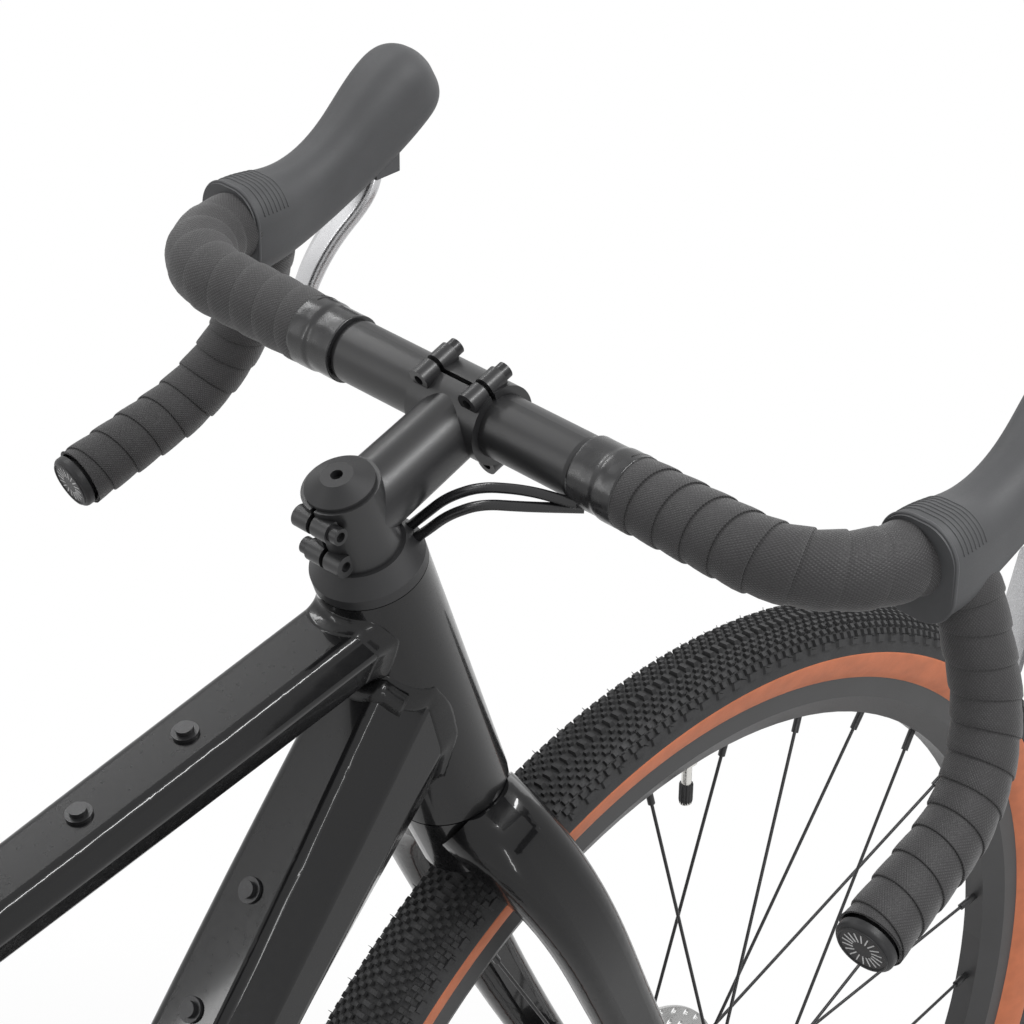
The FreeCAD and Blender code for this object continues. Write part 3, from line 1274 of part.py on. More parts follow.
front_rotor_out = S.front_hub_width / 2 - S.rotor_inset
rear_rotor_out = S.rear_hub_width / 2 - S.rotor_inset
fork_placed = fork_solid.copy()
fork_placed.Placement = steering()
FRONT_LEAN_SHARE = 0.22
REAR_LEAN_SHARE = 0.36
front_away = STEER_UP - STEER_AHEAD * FRONT_LEAN_SHARE
shaped("front_caliper", caliper(FRONT_AXLE, front_rotor_out, front_away, fork_placed))
stay_line = (SHELL - REAR_AXLE).normalize()
rear_away = stay_line - Y.cross(stay_line) * REAR_LEAN_SHARE
rear_neighbours = Part.makeCompound([chainstay, seatstay, dropout_left])
shaped("rear_caliper", caliper(REAR_AXLE, rear_rotor_out, rear_away, rear_neighbours))


# Wheels

# Tyre casing from the flank above the rim to the crown: half width and height above the rim, each a share
TYRE_SHARES = ((0.84, 0.16), (1.0, 0.45), (0.95, 0.7), (0.76, 0.87), (0.0, 1.0))
TYRE_INNER_SHARES = ((0.82, 0.2), (1.0, 0.45), (0.0, 1.0))


def tyre_profile(shares, half, height):
    """Points of half a tyre's section, as (radius, 0, offset from the middle plane)."""
    return [Vector(S.rim_outer_radius + rise * height, 0, out * half) for out, rise in shares]


def flipped(point):
    return Vector(point.x, point.y, -point.z)


def tyre_shape():
    """A casing with a round section, open towards the rim, with a thicker tread."""
    half = S.tyre_width / 2
    height = S.wheel_radius - S.rim_outer_radius
    bead = S.rim_width / 2 - S.rim_wall - S.seat_gap
    flank, widest, shoulder, side, crown = tyre_profile(TYRE_SHARES, half, height)
    in_flank, in_widest, in_crown = tyre_profile(TYRE_INNER_SHARES, half - S.tyre_casing,
                                                 height - S.tyre_tread)
    edge = Vector(S.rim_outer_radius, 0, bead)
    foot = Vector(S.tyre_bead_radius, 0, bead)
    in_edge = Vector(S.rim_outer_radius + S.tyre_casing, 0, bead - S.tyre_casing)
    in_foot = Vector(S.tyre_bead_radius, 0, bead - S.tyre_casing)
    edges = [Part.LineSegment(in_foot, foot), Part.LineSegment(foot, edge), Part.Arc(edge, flank, widest),
             Part.Arc(widest, shoulder, side), Part.Arc(side, crown, flipped(side)),
             Part.Arc(flipped(side), flipped(shoulder), flipped(widest)),
             Part.Arc(flipped(widest), flipped(flank), flipped(edge)),
             Part.LineSegment(flipped(edge), flipped(foot)),
             Part.LineSegment(flipped(foot), flipped(in_foot)),
             Part.LineSegment(flipped(in_foot), flipped(in_edge)),
             Part.Arc(flipped(in_edge), flipped(in_flank), flipped(in_widest)),
             Part.Arc(flipped(in_widest), in_crown, in_widest), Part.Arc(in_widest, in_flank, in_edge),
             Part.LineSegment(in_edge, in_foot)]
    profile = Part.Wire([line.toShape() for line in edges])
    return Part.Face(profile).revolve(Vector(0, 0, 0), Z, 360)


def on_wheel(radius, angle, out):
    """A place on a wheel whose axis is Z: angle is measured from the front towards the top."""
    return Vector(radius * math.cos(math.radians(angle)), -radius * math.sin(math.radians(angle)), out)


VALVE_ANGLE = 90
SPOKE_LEAN = 62


def spokes_shape(left_flange, right_flange):
    """Spokes laced from both flanges to the rim, each with its nipple."""
    step = 360 / SPOKE_COUNT
    spokes = []
    for index in range(SPOKE_COUNT):
        side = 1 if index % 2 else -1
        trail = 1 if (index // 2) % 2 else -1
        angle = VALVE_ANGLE + step * (index + 1 / 2)
        lift = S.spoke_lift if trail == side else S.seat_gap
        offset = S.flange_thickness / 2 + S.spoke_radius + lift
        flange = left_flange if side > 0 else right_flange
        start = on_wheel(S.flange_radius - S.flange_inset, angle + trail * SPOKE_LEAN,
                         side * flange + trail * offset)
        end = on_wheel(S.rim_inner_radius - S.seat_gap, angle, 0)
        along = (end - start).normalize()
        spoke = rod(start, end, S.spoke_radius)
        nipple = rod(end - along * S.nipple_length, end, S.nipple_radius)
        spokes.append(spoke.fuse(nipple))
    return Part.makeCompound(spokes)


NUT_SHARE = 1.6


def valve_shape():
    """The valve stem with its ring nut and cap, at the top of the wheel."""
    start = on_wheel(S.rim_inner_radius - S.seat_gap, VALVE_ANGLE, 0)
    inward = Vector(-start.x, -start.y, 0).normalize()
    stem = Part.makeCylinder(S.valve_radius, S.valve_length, start, inward)
    nut = Part.makeCylinder(S.valve_cap_radius * NUT_SHARE, S.valve_radius, start, inward)
    cap = Part.makeCylinder(S.valve_cap_radius, S.valve_cap_length,
                            start + inward * (S.valve_length - S.valve_cap_length / 3), inward)
    return stem.fuse([nut, cap])


def hub_body(prefix, right_end, left_end):
    """The hub shell with two flanges and the rotor's seat, as heights from the middle plane to the left."""
    low = f"-{prefix}_right_flange"
    high = f"{prefix}_left_flange"
    seat = "rotor_bore - seat_gap"
    half = "flange_thickness / 2"
    return turned(prefix + "_hub_shell", (
        ("hub_bore", right_end), ("hub_radius", right_end), ("hub_radius", f"{low} - {half}"),
        ("flange_radius", f"{low} - {half}"), ("flange_radius", f"{low} + {half}"),
        ("hub_radius", f"{low} + {half}"), ("hub_radius", f"{high} - {half}"),
        ("flange_radius", f"{high} - {half}"), ("flange_radius", f"{high} + {half}"),
        (seat, f"{high} + {half}"), (seat, left_end), ("hub_bore", left_end)), Placement())


def hub_shape(prefix, right_end, left_end, caps):
    """The shell with its bearings and end caps, round the axle."""
    shell = hub_body(prefix, right_end, left_end)
    doc.recompute()
    right, left = worth(right_end), worth(left_end)
    bore = S.axle_radius + S.running_fit
    pieces = [shell.Shape]
    for start in (right, left - S.hub_bearing_width):
        pieces.append(ring(Placement(Vector(0, 0, start), Rotation()), S.hub_bore - S.seat_gap, bore,
                           S.hub_bearing_width))
    for start, end in caps:
        pieces.append(ring(Placement(Vector(0, 0, start), Rotation()), S.hub_cap_radius, bore, end - start))
    return Part.makeCompound(pieces)


ROTOR_WINDOW_SHARES = (0.84, 0.54)
ROTOR_HOLE_SHARES = (0.22, 0.78)


def rotor_body(name):
    """A disc with windows between its arms and rings of holes in its track."""
    body = doc.addObject("PartDesign::Body", name)
    padded(body, lambda sketch: draw_circle(sketch, ("0", "0"), "rotor_radius"), "rotor_thickness")
    inner = "rotor_radius - rotor_track"
    half_in = "rotor_carrier / 2 - rotor_arm / 2"
    far_share, wide_share = ROTOR_WINDOW_SHARES
    far = f"({inner}) * {far_share}"
    half_out = f"({inner}) * {wide_share} - rotor_arm / 2"
    window = (("rotor_carrier", f"-({half_in})"), (far, f"-({half_out})"), (inner, "0"), (far, half_out),
              ("rotor_carrier", half_in))
    pocketed(body, lambda sketch: draw_outline(sketch, window), ROTOR_ARMS)
    for share in ROTOR_HOLE_SHARES:
        place = (f"rotor_radius - rotor_track * {share}", "0")
        pocketed(body, lambda sketch: draw_circle(sketch, place, "rotor_hole"), ROTOR_HOLES)
    pocketed(body, lambda sketch: draw_circle(sketch, ("0", "0"), "rotor_bore"))
    return body


RIM_PROFILE = (("rim_inner_radius", "-rim_inner_width / 2"), ("rim_well_radius", "-rim_width / 2"),
               ("rim_outer_radius", "-rim_width / 2"), ("rim_outer_radius", "rim_wall - rim_width / 2"),
               ("rim_well_radius", "rim_wall - rim_width / 2"),
               ("rim_well_radius", "rim_width / 2 - rim_wall"),
               ("rim_outer_radius", "rim_width / 2 - rim_wall"), ("rim_outer_radius", "rim_width / 2"),
               ("rim_well_radius", "rim_width / 2"), ("rim_inner_radius", "rim_inner_width / 2"))


def wheel(prefix, axle, right_end, left_end, caps, rotor_out):
    """All pieces of one wheel, round its axle."""
    place = leftward(axle)
    shaped(prefix + "_tyre", tyre_shape(), place)
    node(prefix + "_rim", turned(prefix + "_rim", RIM_PROFILE, place))
    spokes = spokes_shape(worth(prefix + "_left_flange"), worth(prefix + "_right_flange"))
    shaped(prefix + "_spokes", spokes, place)
    shaped(prefix + "_valve", valve_shape(), place)
    shaped(prefix + "_hub", hub_shape(prefix, right_end, left_end, caps), place)
    rotor = rotor_body(prefix + "_rotor")
    rotor.Placement = leftward(axle + Y * rotor_out)
    node(prefix + "_rotor", rotor)


CAP_LENGTH = S.hub_bearing_width
front_end = S.front_hub_width / 2 - S.body_gap / 2
rear_end = S.rear_hub_width / 2 - S.body_gap / 2
wheel("front", FRONT_AXLE, "hub_bearing_width - front_hub_width / 2",
      "front_hub_width / 2 - hub_bearing_width",
      ((-front_end, -S.front_hub_width / 2 + CAP_LENGTH), (S.front_hub_width / 2 - CAP_LENGTH, front_end)),
      front_rotor_out)
wheel("rear", REAR_AXLE, "-rear_right_flange - hub_bearing_width", "rear_hub_width / 2 - hub_bearing_width",
      ((S.rear_hub_width / 2 - CAP_LENGTH, rear_end),), rear_rotor_out)


# Chain drive: the loop runs over the chainring, the two pulleys and one cog, all in one plane

def pitch_radius(teeth):
    return S.pitch / (2 * math.sin(math.pi / teeth))


def right_of(direction):
    """A quarter turn clockwise, seen from the right side of the bike."""
    return Vector(direction.z, 0, -direction.x)


CAGE_PIVOT = REAR_AXLE + Vector(S.cage_forward, 0, -S.cage_drop)


def pulley_centres(lean):
    """Guide and tension pulley for a cage that leans forward by an angle."""
    down = Vector(math.sin(lean), 0, -math.cos(lean))
    return CAGE_PIVOT - down * S.guide_rise, CAGE_PIVOT + down * S.tension_drop


def drive_loop(lean):
    """The wheels that the chain runs round: centre, teeth and sense, 1 being clockwise from the right."""
    guide, tension = pulley_centres(lean)
    return ((SHELL, CHAINRING_TEETH, 1), (tension, TENSION_TEETH, 1), (guide, GUIDE_TEETH, -1),
            (REAR_AXLE, COG_TEETH[CHAIN_COG], 1))


def tangent(first, second):
    """The straight run of chain from one wheel to the next: its two ends."""
    (start, teeth1, sense1), (end, teeth2, sense2) = first, second
    span = end - start
    shift = sense2 * pitch_radius(teeth2) - sense1 * pitch_radius(teeth1)
    level = span.normalize()
    distance = (end - start).Length
    run = math.sqrt(distance ** 2 - shift ** 2)
    along = (level * run - right_of(level) * shift) * (1 / distance)
    normal = right_of(along)
    return (start - normal * (sense1 * pitch_radius(teeth1)), end - normal * (sense2 * pitch_radius(teeth2)))


def turn_angle(centre, start, end, sense):
    """The angle from start round to end, clockwise for a positive sense."""
    first = math.atan2(start.z - centre.z, start.x - centre.x)
    last = math.atan2(end.z - centre.z, end.x - centre.x)
    return ((first - last) * sense) % (2 * math.pi)


def loop_stretches(lean):
    """The chain's stretches in order, each with its length in links."""
    wheels = drive_loop(lean)
    runs = [tangent(wheels[index], wheels[(index + 1) % len(wheels)]) for index in range(len(wheels))]
    stretches = []
    for index, (centre, teeth, sense) in enumerate(wheels):
        enter = runs[index - 1][1]
        leave = runs[index][0]
        turn = turn_angle(centre, enter, leave, sense)
        stretches.append(("turn", turn * teeth / (2 * math.pi), (centre, enter, teeth, sense)))
        stretches.append(("run", (runs[index][1] - leave).Length / S.pitch, runs[index]))
    return stretches


def loop_links(lean):
    return sum(length for _, length, _ in loop_stretches(lean))


LEAN_RANGE = (math.radians(-20), math.radians(60))
LEAN_START = math.radians(18)
BISECTIONS = 60


def cage_lean():
    """The lean of the cage at which the chain closes with a whole, even number of links."""
    links = 2 * round(loop_links(LEAN_START) / 2)
    low, high = LEAN_RANGE
    rising = loop_links(high) > loop_links(low)
    for _ in range(BISECTIONS):
        middle = (low + high) / 2
        if (loop_links(middle) < links) == rising:
            low = middle
        else:
            high = middle
    return middle, links


CAGE_LEAN, LINK_COUNT = cage_lean()
print("chain links", LINK_COUNT, "cage lean", round(math.degrees(CAGE_LEAN), 2))


def loop_point(distance):
    """The place of a chain pin, as a number of links round the loop."""
    for kind, length, data in loop_stretches(CAGE_LEAN):
        if distance <= length:
            if kind == "run":
                return data[0] + (data[1] - data[0]) * (distance / length)
            centre, enter, teeth, sense = data
            turn = Rotation(Y, math.degrees(sense * distance * 2 * math.pi / teeth))
            return centre + turn.multVec(enter - centre)
        distance -= length
    return loop_point(distance)


PINS = [loop_point(index) for index in range(LINK_COUNT)]


WAIST_SHARE = 0.72


def link_plate(half_width, thickness):
    """A pair of rounded plates, one pitch long, on both sides of the chain's middle."""
    radius = S.chain_plate_height / 2
    pieces = []
    for side in (1, -1):
        start = side * half_width if side > 0 else -half_width - thickness
        for end in (0, S.pitch):
            pieces.append(Part.makeCylinder(radius, thickness, Vector(end, start, 0), Y))
        waist = radius * WAIST_SHARE
        pieces.append(Part.makeBox(S.pitch, thickness, 2 * waist, Vector(0, start, -waist)))
    return pieces


def inner_link():
    """Two inner plates joined by two hollow rollers."""
    half = S.chain_inner_width / 2
    pieces = link_plate(half, S.chain_plate)
    for end in (0, S.pitch):
        pieces.append(Part.makeCylinder(S.roller_radius, 2 * half, Vector(end, -half, 0), Y))
    body = pieces[0].fuse(pieces[1:])
    reach = half + S.chain_plate + S.overrun
    bores = [Part.makeCylinder(S.chain_pin_radius + S.seat_gap, 2 * reach, Vector(end, -reach, 0), Y)
             for end in (0, S.pitch)]
    return one_solid(body.cut(Part.makeCompound(bores)).removeSplitter())


def outer_link():
    """Two outer plates joined by two pins."""
    half = S.chain_inner_width / 2 + S.chain_plate + S.seat_gap
    pieces = link_plate(half, S.chain_plate)
    reach = half + S.chain_plate
    for end in (0, S.pitch):
        pieces.append(Part.makeCylinder(S.chain_pin_radius, 2 * reach, Vector(end, -reach, 0), Y))
    return one_solid(pieces[0].fuse(pieces[1:]).removeSplitter())


def chain_shape():
    links = []
    kinds = (inner_link(), outer_link())
    for index, start in enumerate(PINS):
        along = PINS[(index + 1) % LINK_COUNT] - start
        link = kinds[index % 2].copy()
        angle = math.degrees(math.atan2(along.z, along.x))
        link.Placement = Placement(start - Y * S.chain_line, Rotation(Y, -angle))
        links.append(link)
    return Part.makeCompound(links)


shaped("chain", chain_shape())


def phase(centre, radius):
    """The angle of a chain pin that lies on a wheel, so that its teeth can straddle it."""
    on_wheel_pins = [pin for pin in PINS if abs((pin - centre).Length - radius) < S.tooth_relief / 2]
    pin = on_wheel_pins[len(on_wheel_pins) // 2] if on_wheel_pins else PINS[0]
    return math.degrees(math.atan2(pin.z - centre.z, pin.x - centre.x))


SEAT_ANGLES = (250, 180, 110)
TIP_SHARES = (0.42, 0.58)


def sprocket(teeth, first_angle, bore, centre, out):
    """A toothed disc with a seat for a roller at each pitch point."""
    radius = pitch_radius(teeth)
    seat = S.roller_radius + S.tooth_relief
    step = 360 / teeth
    edges = []
    tips = []
    for index in range(teeth):
        turn = Rotation(Y, -(first_angle + index * step))
        seat_centre = turn.multVec(X) * radius
        points = [seat_centre + turn.multVec(Rotation(Y, -angle).multVec(X)) * seat for angle in SEAT_ANGLES]
        tip = [Rotation(Y, -(first_angle + (index + share) * step)).multVec(X) * (radius + S.tooth_height)
               for share in TIP_SHARES]
        tips.append((points, tip))
    for index, (points, tip) in enumerate(tips):
        following = tips[(index + 1) % teeth][0]
        edges.append(Part.Arc(*points).toShape())
        edges.append(Part.LineSegment(points[2], tip[0]).toShape())
        edges.append(Part.LineSegment(tip[0], tip[1]).toShape())
        edges.append(Part.LineSegment(tip[1], following[0]).toShape())
    blank = Part.Face(Part.Wire(edges)).extrude(Y * S.sprocket_thickness)
    hole = Part.makeCylinder(bore, S.sprocket_thickness, Vector(0, 0, 0), Y)
    disc = blank.cut(hole)
    disc.translate(centre + Y * (out - S.sprocket_thickness / 2))
    return disc


GUIDE, TENSION = pulley_centres(CAGE_LEAN)


def cassette_shape():
    """The cogs side by side on the freehub body."""
    inner_face = S.rear_right_flange + S.hub_bearing_width + S.body_gap
    outer_face = S.rear_hub_width / 2 - S.body_gap / 2
    start, end = REAR_AXLE - Y * inner_face, REAR_AXLE - Y * outer_face
    pieces = [rod(start, end, S.freehub_radius).cut(rod(start, end, S.axle_radius + S.running_fit))]
    for index, teeth in enumerate(COG_TEETH):
        out = -S.chain_line - (CHAIN_COG - index) * S.cog_spacing
        angle = phase(REAR_AXLE, pitch_radius(COG_TEETH[CHAIN_COG])) if index == CHAIN_COG else 0
        cog = sprocket(teeth, angle, S.freehub_radius + S.seat_gap, REAR_AXLE, out)
        pieces.append(cog)
    return Part.makeCompound(pieces)


shaped("cassette", cassette_shape())


# Cranks, chainring and pedals

RING_WINDOWS = 6
WINDOW_SHARE = 0.27


def chainring_shape():
    """A toothed ring with round windows, on the boss of the right crank."""
    ring_solid = sprocket(CHAINRING_TEETH, phase(SHELL, pitch_radius(CHAINRING_TEETH)),
                          S.crank_boss_radius + S.seat_gap, SHELL, -S.chain_line)
    inner, outer = S.crank_boss_radius, pitch_radius(CHAINRING_TEETH)
    windows = []
    for index in range(RING_WINDOWS):
        spot = Rotation(Y, index * 360 / RING_WINDOWS).multVec(X) * ((inner + outer) / 2)
        windows.append(Part.makeCylinder((outer - inner) * WINDOW_SHARE, S.chain_line, SHELL + spot, Y * -1))
        windows[-1].translate(Y * (-S.chain_line / 2))
    return one_solid(ring_solid.cut(Part.makeCompound(windows)))


shaped("chainring", chainring_shape())

CRANK_SHARES = ((0.0, 1, 1), (0.3, 0.95, 1), (0.7, 0.8, 0.95), (1.0, 0.72, 0.9))
CRANK_CORNER_SHARE = 0.3
CRANK_DEPTH_SHARE = 0.85


def crank_arm(side):
    """One arm with round ends and the pedal axle: the right one points forward, the left one back."""
    ahead = X * (1 if side < 0 else -1)
    out = Y * side
    inner = SHELL + out * S.crank_inset
    wires = []
    for share, deep, thick in CRANK_SHARES:
        thickness = thick * S.crank_thickness
        depth = deep * S.crank_boss_radius * 2 * CRANK_DEPTH_SHARE
        centre = (inner + ahead * (share * S.crank_length)
                  + out * (S.crank_thickness / 2 + share * S.crank_flare))
        wires.append(section(centre, Y, Z, thickness, depth, CRANK_CORNER_SHARE * thickness))
    boss = Part.makeCylinder(S.crank_boss_radius, S.crank_thickness, inner, out)
    eye_start = inner + ahead * S.crank_length + out * S.crank_flare
    eye = Part.makeCylinder(S.crank_eye_radius, S.crank_thickness, eye_start, out)
    axle_length = S.crank_thickness + S.pedal_width + S.body_gap
    axle = Part.makeCylinder(S.pedal_axle_radius, axle_length, eye_start, out)
    return lofted(wires).fuse([boss, eye, axle]), eye_start


right_arm, right_eye = crank_arm(-1)
left_arm, left_eye = crank_arm(1)
arm_face = SHELL - Y * S.crank_inset
spindle = rod(arm_face, SHELL + Y * S.crank_inset, S.spindle_radius)
ring_boss = rod(arm_face, SHELL - Y * (S.chain_line - S.sprocket_thickness / 2), S.crank_boss_radius)
shaped("right_crank", one_solid(right_arm.fuse([spindle, ring_boss])))
shaped("left_crank", one_solid(left_arm))


def pedal(eye, side):
    """A platform with two windows, round a tube on the pedal axle."""
    out = Y * side
    start = eye + out * (S.crank_thickness + S.body_gap)
    low = start if side > 0 else start + out * S.pedal_width
    half = Vector(S.pedal_length / 2, 0, S.pedal_height / 2)
    frame = box(Placement(low - half, Rotation()), "pedal_length", "pedal_width", "pedal_height")
    window_size = ("pedal_length / 2 - pedal_wall - pedal_core_radius", "pedal_width - 2 * pedal_wall",
                   "pedal_height + 2 * overrun")
    windows = []
    for place in (S.pedal_wall - S.pedal_length / 2, S.pedal_core_radius):
        corner = low + Vector(place, S.pedal_wall, -S.pedal_height / 2 - S.overrun)
        windows.append(box(Placement(corner, Rotation()), *window_size))
    bore = cylinder(leftward(low - Y * S.overrun), "pedal_axle_radius + running_fit",
                    "pedal_width + 2 * overrun")
    return cut(frame, windows + [bore])


node("right_pedal", pedal(right_eye, -1))
node("left_pedal", pedal(left_eye, 1))


# Derailleur

def pulley(teeth, centre):
    """A toothed pulley on its bolt."""
    angle = phase(centre, pitch_radius(teeth))
    return sprocket(teeth, angle, S.pulley_bolt_radius + S.running_fit, centre, -S.chain_line)


shaped("guide_pulley", pulley(GUIDE_TEETH, GUIDE))
shaped("tension_pulley", pulley(TENSION_TEETH, TENSION))


KNUCKLE_FACE = S.chain_line + S.cage_gap + S.cage_plate + S.body_gap
KNUCKLE_LENGTH = 2 * S.knuckle_radius
SHAFT_LENGTH = KNUCKLE_FACE - S.chain_line - S.cage_gap + KNUCKLE_LENGTH - S.cage_plate


def cage_shape():
    """Two plates joined by the pulley bolts, with the shaft that turns in the knuckle."""
    pieces = []
    for side in (1, -1):
        out = -S.chain_line + side * S.cage_gap - (S.cage_plate if side < 0 else 0)
        ends = ((GUIDE, S.cage_width / 2), (TENSION, S.cage_width / 2))
        for spot, radius in ends:
            pieces.append(Part.makeCylinder(radius, S.cage_plate, spot + Y * out, Y))
        pieces.append(web(ends[0], ends[1], Y * out, S.cage_plate))
    reach = S.cage_gap + S.cage_plate
    for spot in (GUIDE, TENSION):
        bolt_start = spot - Y * (S.chain_line + reach)
        pieces.append(Part.makeCylinder(S.pulley_bolt_radius, 2 * reach, bolt_start, Y))
    shaft_start = CAGE_PIVOT - Y * (S.chain_line + S.cage_gap)
    pieces.append(Part.makeCylinder(S.cage_shaft_radius, SHAFT_LENGTH, shaft_start, Y * -1))
    return one_solid(pieces[0].fuse(pieces[1:]).removeSplitter())


shaped("derailleur_cage", cage_shape())

# The links swing about pins that lean inward, so that the cage drops as it moves to larger cogs
LINK_TURN = Rotation(X, -S.link_slant)
LINK_BACK = Vector(CAGE_PIVOT.x - S.link_length, -S.knuckle_out, REAR_AXLE.z - S.link_drop)
LINK_FRAME = Placement(LINK_BACK, LINK_TURN)


def link_shape(side):
    """One link: a bar with a pin bore at each end."""
    row = side * S.link_spread / 2
    half = S.link_width / 2
    pieces = []
    bores = []
    for end in (0, S.link_length):
        foot = Vector(end, row, -half)
        pieces.append(Part.makeCylinder(S.link_thickness / 2, S.link_width, foot))
        bores.append(Part.makeCylinder(S.link_pin_radius + S.running_fit, S.link_width, foot))
    corner = Vector(0, row - S.link_thickness / 2, -half)
    pieces.append(Part.makeBox(S.link_length, S.link_thickness, S.link_width, corner))
    return one_solid(pieces[0].fuse(pieces[1:]).cut(Part.makeCompound(bores)).removeSplitter())


shaped("derailleur_outer_link", link_shape(-1), LINK_FRAME)
shaped("derailleur_inner_link", link_shape(1), LINK_FRAME)


# Where an arm leaves its knuckle block, behind the pins and ahead of them
ARM_SEAT_SHARES = {-1: 0.35, 1: 0.65}


def clevis(end, ahead):
    """A block with two ears for both link pins: ahead is 1 where the block lies in front of the pins."""
    half = S.link_width / 2 + S.body_gap
    reach = S.link_spread / 2 + S.link_thickness / 2
    front = S.link_thickness / 2
    behind = front + 2 * S.body_gap
    low = end - front if ahead > 0 else end - behind - S.knuckle_depth
    length = front + behind + S.knuckle_depth
    pieces = []
    for start in (-half - S.ear_thickness, half):
        pieces.append(Part.makeBox(length, 2 * reach, S.ear_thickness, Vector(low, -reach, start)))
    block_low = end + behind if ahead > 0 else low
    pieces.append(Part.makeBox(S.knuckle_depth, 2 * reach, 2 * (half + S.ear_thickness),
                               Vector(block_low, -reach, -half - S.ear_thickness)))
    for side in (1, -1):
        pieces.append(Part.makeCylinder(S.link_pin_radius, 2 * (half + S.ear_thickness),
                                        Vector(end, side * S.link_spread / 2, -half - S.ear_thickness)))
    solid = pieces[0].fuse(pieces[1:])
    solid.Placement = LINK_FRAME
    arm_end = block_low + S.knuckle_depth * ARM_SEAT_SHARES[ahead]
    return solid, LINK_FRAME.multVec(Vector(arm_end, 0, 0))


def knuckle_arm(start, end, radius):
    """A round arm between two places of a knuckle, with a ball at its upper end."""
    return rod(start, end, radius).fuse(Part.makeSphere(radius, start))


ARM_SHARE = 0.44
HOUSING_SHARE = 0.6
ARM_SHIFT = X * (S.knuckle_radius * HOUSING_SHARE)
back_block, back_middle = clevis(0, -1)
hanger_face = DROPOUT_INNER + S.dropout_thickness
hanger_foot = HANGER - Y * hanger_face
housing_length = KNUCKLE_LENGTH * HOUSING_SHARE
hanger_housing = Part.makeCylinder(S.knuckle_radius, housing_length, hanger_foot, Y * -1)
hanger_bolt = Part.makeCylinder(S.boss_shank_radius, S.dropout_thickness, hanger_foot, Y)
hanger_middle = hanger_foot - Y * (housing_length / 2)
back_arm = knuckle_arm(hanger_middle - ARM_SHIFT, back_middle, S.knuckle_radius * ARM_SHARE)
plate_room = Part.makeBox(2 * S.knuckle_radius, S.dropout_thickness, 2 * S.knuckle_radius,
                          hanger_foot - Vector(S.knuckle_radius, 0, S.knuckle_radius) - ARM_SHIFT)
back_arm = back_arm.cut(plate_room)
shaped("derailleur_body", one_solid(back_block.fuse([hanger_housing, hanger_bolt, back_arm])))

front_block, front_middle = clevis(S.link_length, 1)
cage_housing = Part.makeCylinder(S.knuckle_radius, KNUCKLE_LENGTH, CAGE_PIVOT - Y * KNUCKLE_FACE, Y * -1)
cage_middle = CAGE_PIVOT - Y * (KNUCKLE_FACE + KNUCKLE_LENGTH / 2)
front_arm = knuckle_arm(front_middle, cage_middle + ARM_SHIFT, S.knuckle_radius * ARM_SHARE)
cage_bore = Part.makeCylinder(S.cage_shaft_radius + S.running_fit, KNUCKLE_LENGTH - S.cage_plate,
                              CAGE_PIVOT - Y * KNUCKLE_FACE, Y * -1)
shaped("derailleur_knuckle", one_solid(front_block.fuse([cage_housing, front_arm]).cut(cage_bore)))


# Check every object, then write one file for each sub-part

doc.recompute()
failed = [thing.Label for thing in doc.Objects if "Invalid" in thing.State or "Error" in thing.State]
for name, thing in NODES.items():
    shape = thing.Shape
    if shape.isNull() or not shape.isValid() or not shape.Solids:
        failed.append(name)
if failed:
    raise RuntimeError("failed to build: " + ", ".join(failed))
os.makedirs("parts", exist_ok=True)
for name, thing in NODES.items():
    thing.Shape.exportStep(f"parts/{name}.step")
    print(name, len(thing.Shape.Solids), "solids", round(thing.Shape.Volume), "mm3")
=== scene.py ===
import json
import math

import bpy
from mathutils import Matrix, Vector
from mathutils.bvhtree import BVHTree
from mathutils.noise import noise


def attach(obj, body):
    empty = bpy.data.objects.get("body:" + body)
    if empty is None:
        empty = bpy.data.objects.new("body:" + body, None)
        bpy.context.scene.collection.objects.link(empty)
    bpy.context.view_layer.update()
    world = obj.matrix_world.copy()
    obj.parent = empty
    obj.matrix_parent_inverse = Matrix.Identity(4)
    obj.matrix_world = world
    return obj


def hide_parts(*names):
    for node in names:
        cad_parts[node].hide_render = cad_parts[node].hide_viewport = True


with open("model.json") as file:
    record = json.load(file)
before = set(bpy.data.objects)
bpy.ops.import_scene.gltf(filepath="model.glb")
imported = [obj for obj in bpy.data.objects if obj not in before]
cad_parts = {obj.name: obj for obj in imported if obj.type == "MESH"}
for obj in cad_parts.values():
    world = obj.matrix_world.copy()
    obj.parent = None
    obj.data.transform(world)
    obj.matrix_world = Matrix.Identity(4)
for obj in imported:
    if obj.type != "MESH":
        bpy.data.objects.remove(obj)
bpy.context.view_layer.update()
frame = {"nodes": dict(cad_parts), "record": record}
nodes = frame["nodes"]

SIDES = {"left": 1, "right": -1}
TURN = 2 * math.pi

# Camera, as solved from the photograph's 1024 by 1024 frame
CAMERA_PLACE = Vector((-0.6015, -0.95936, 1.722))
CAMERA_RIGHT = Vector((0.7018678, -0.7122349, 0.0101517))
CAMERA_DOWN = Vector((-0.3705239, -0.3772285, -0.8487701))
CAMERA_AHEAD = Vector((0.6083532, 0.5919630, -0.5286646))
FOCAL_PIXELS = 3327.26
FRAME_PIXELS = 1024
SENSOR_MM = 36
CAMERA_CLIP = (0.05, 60)

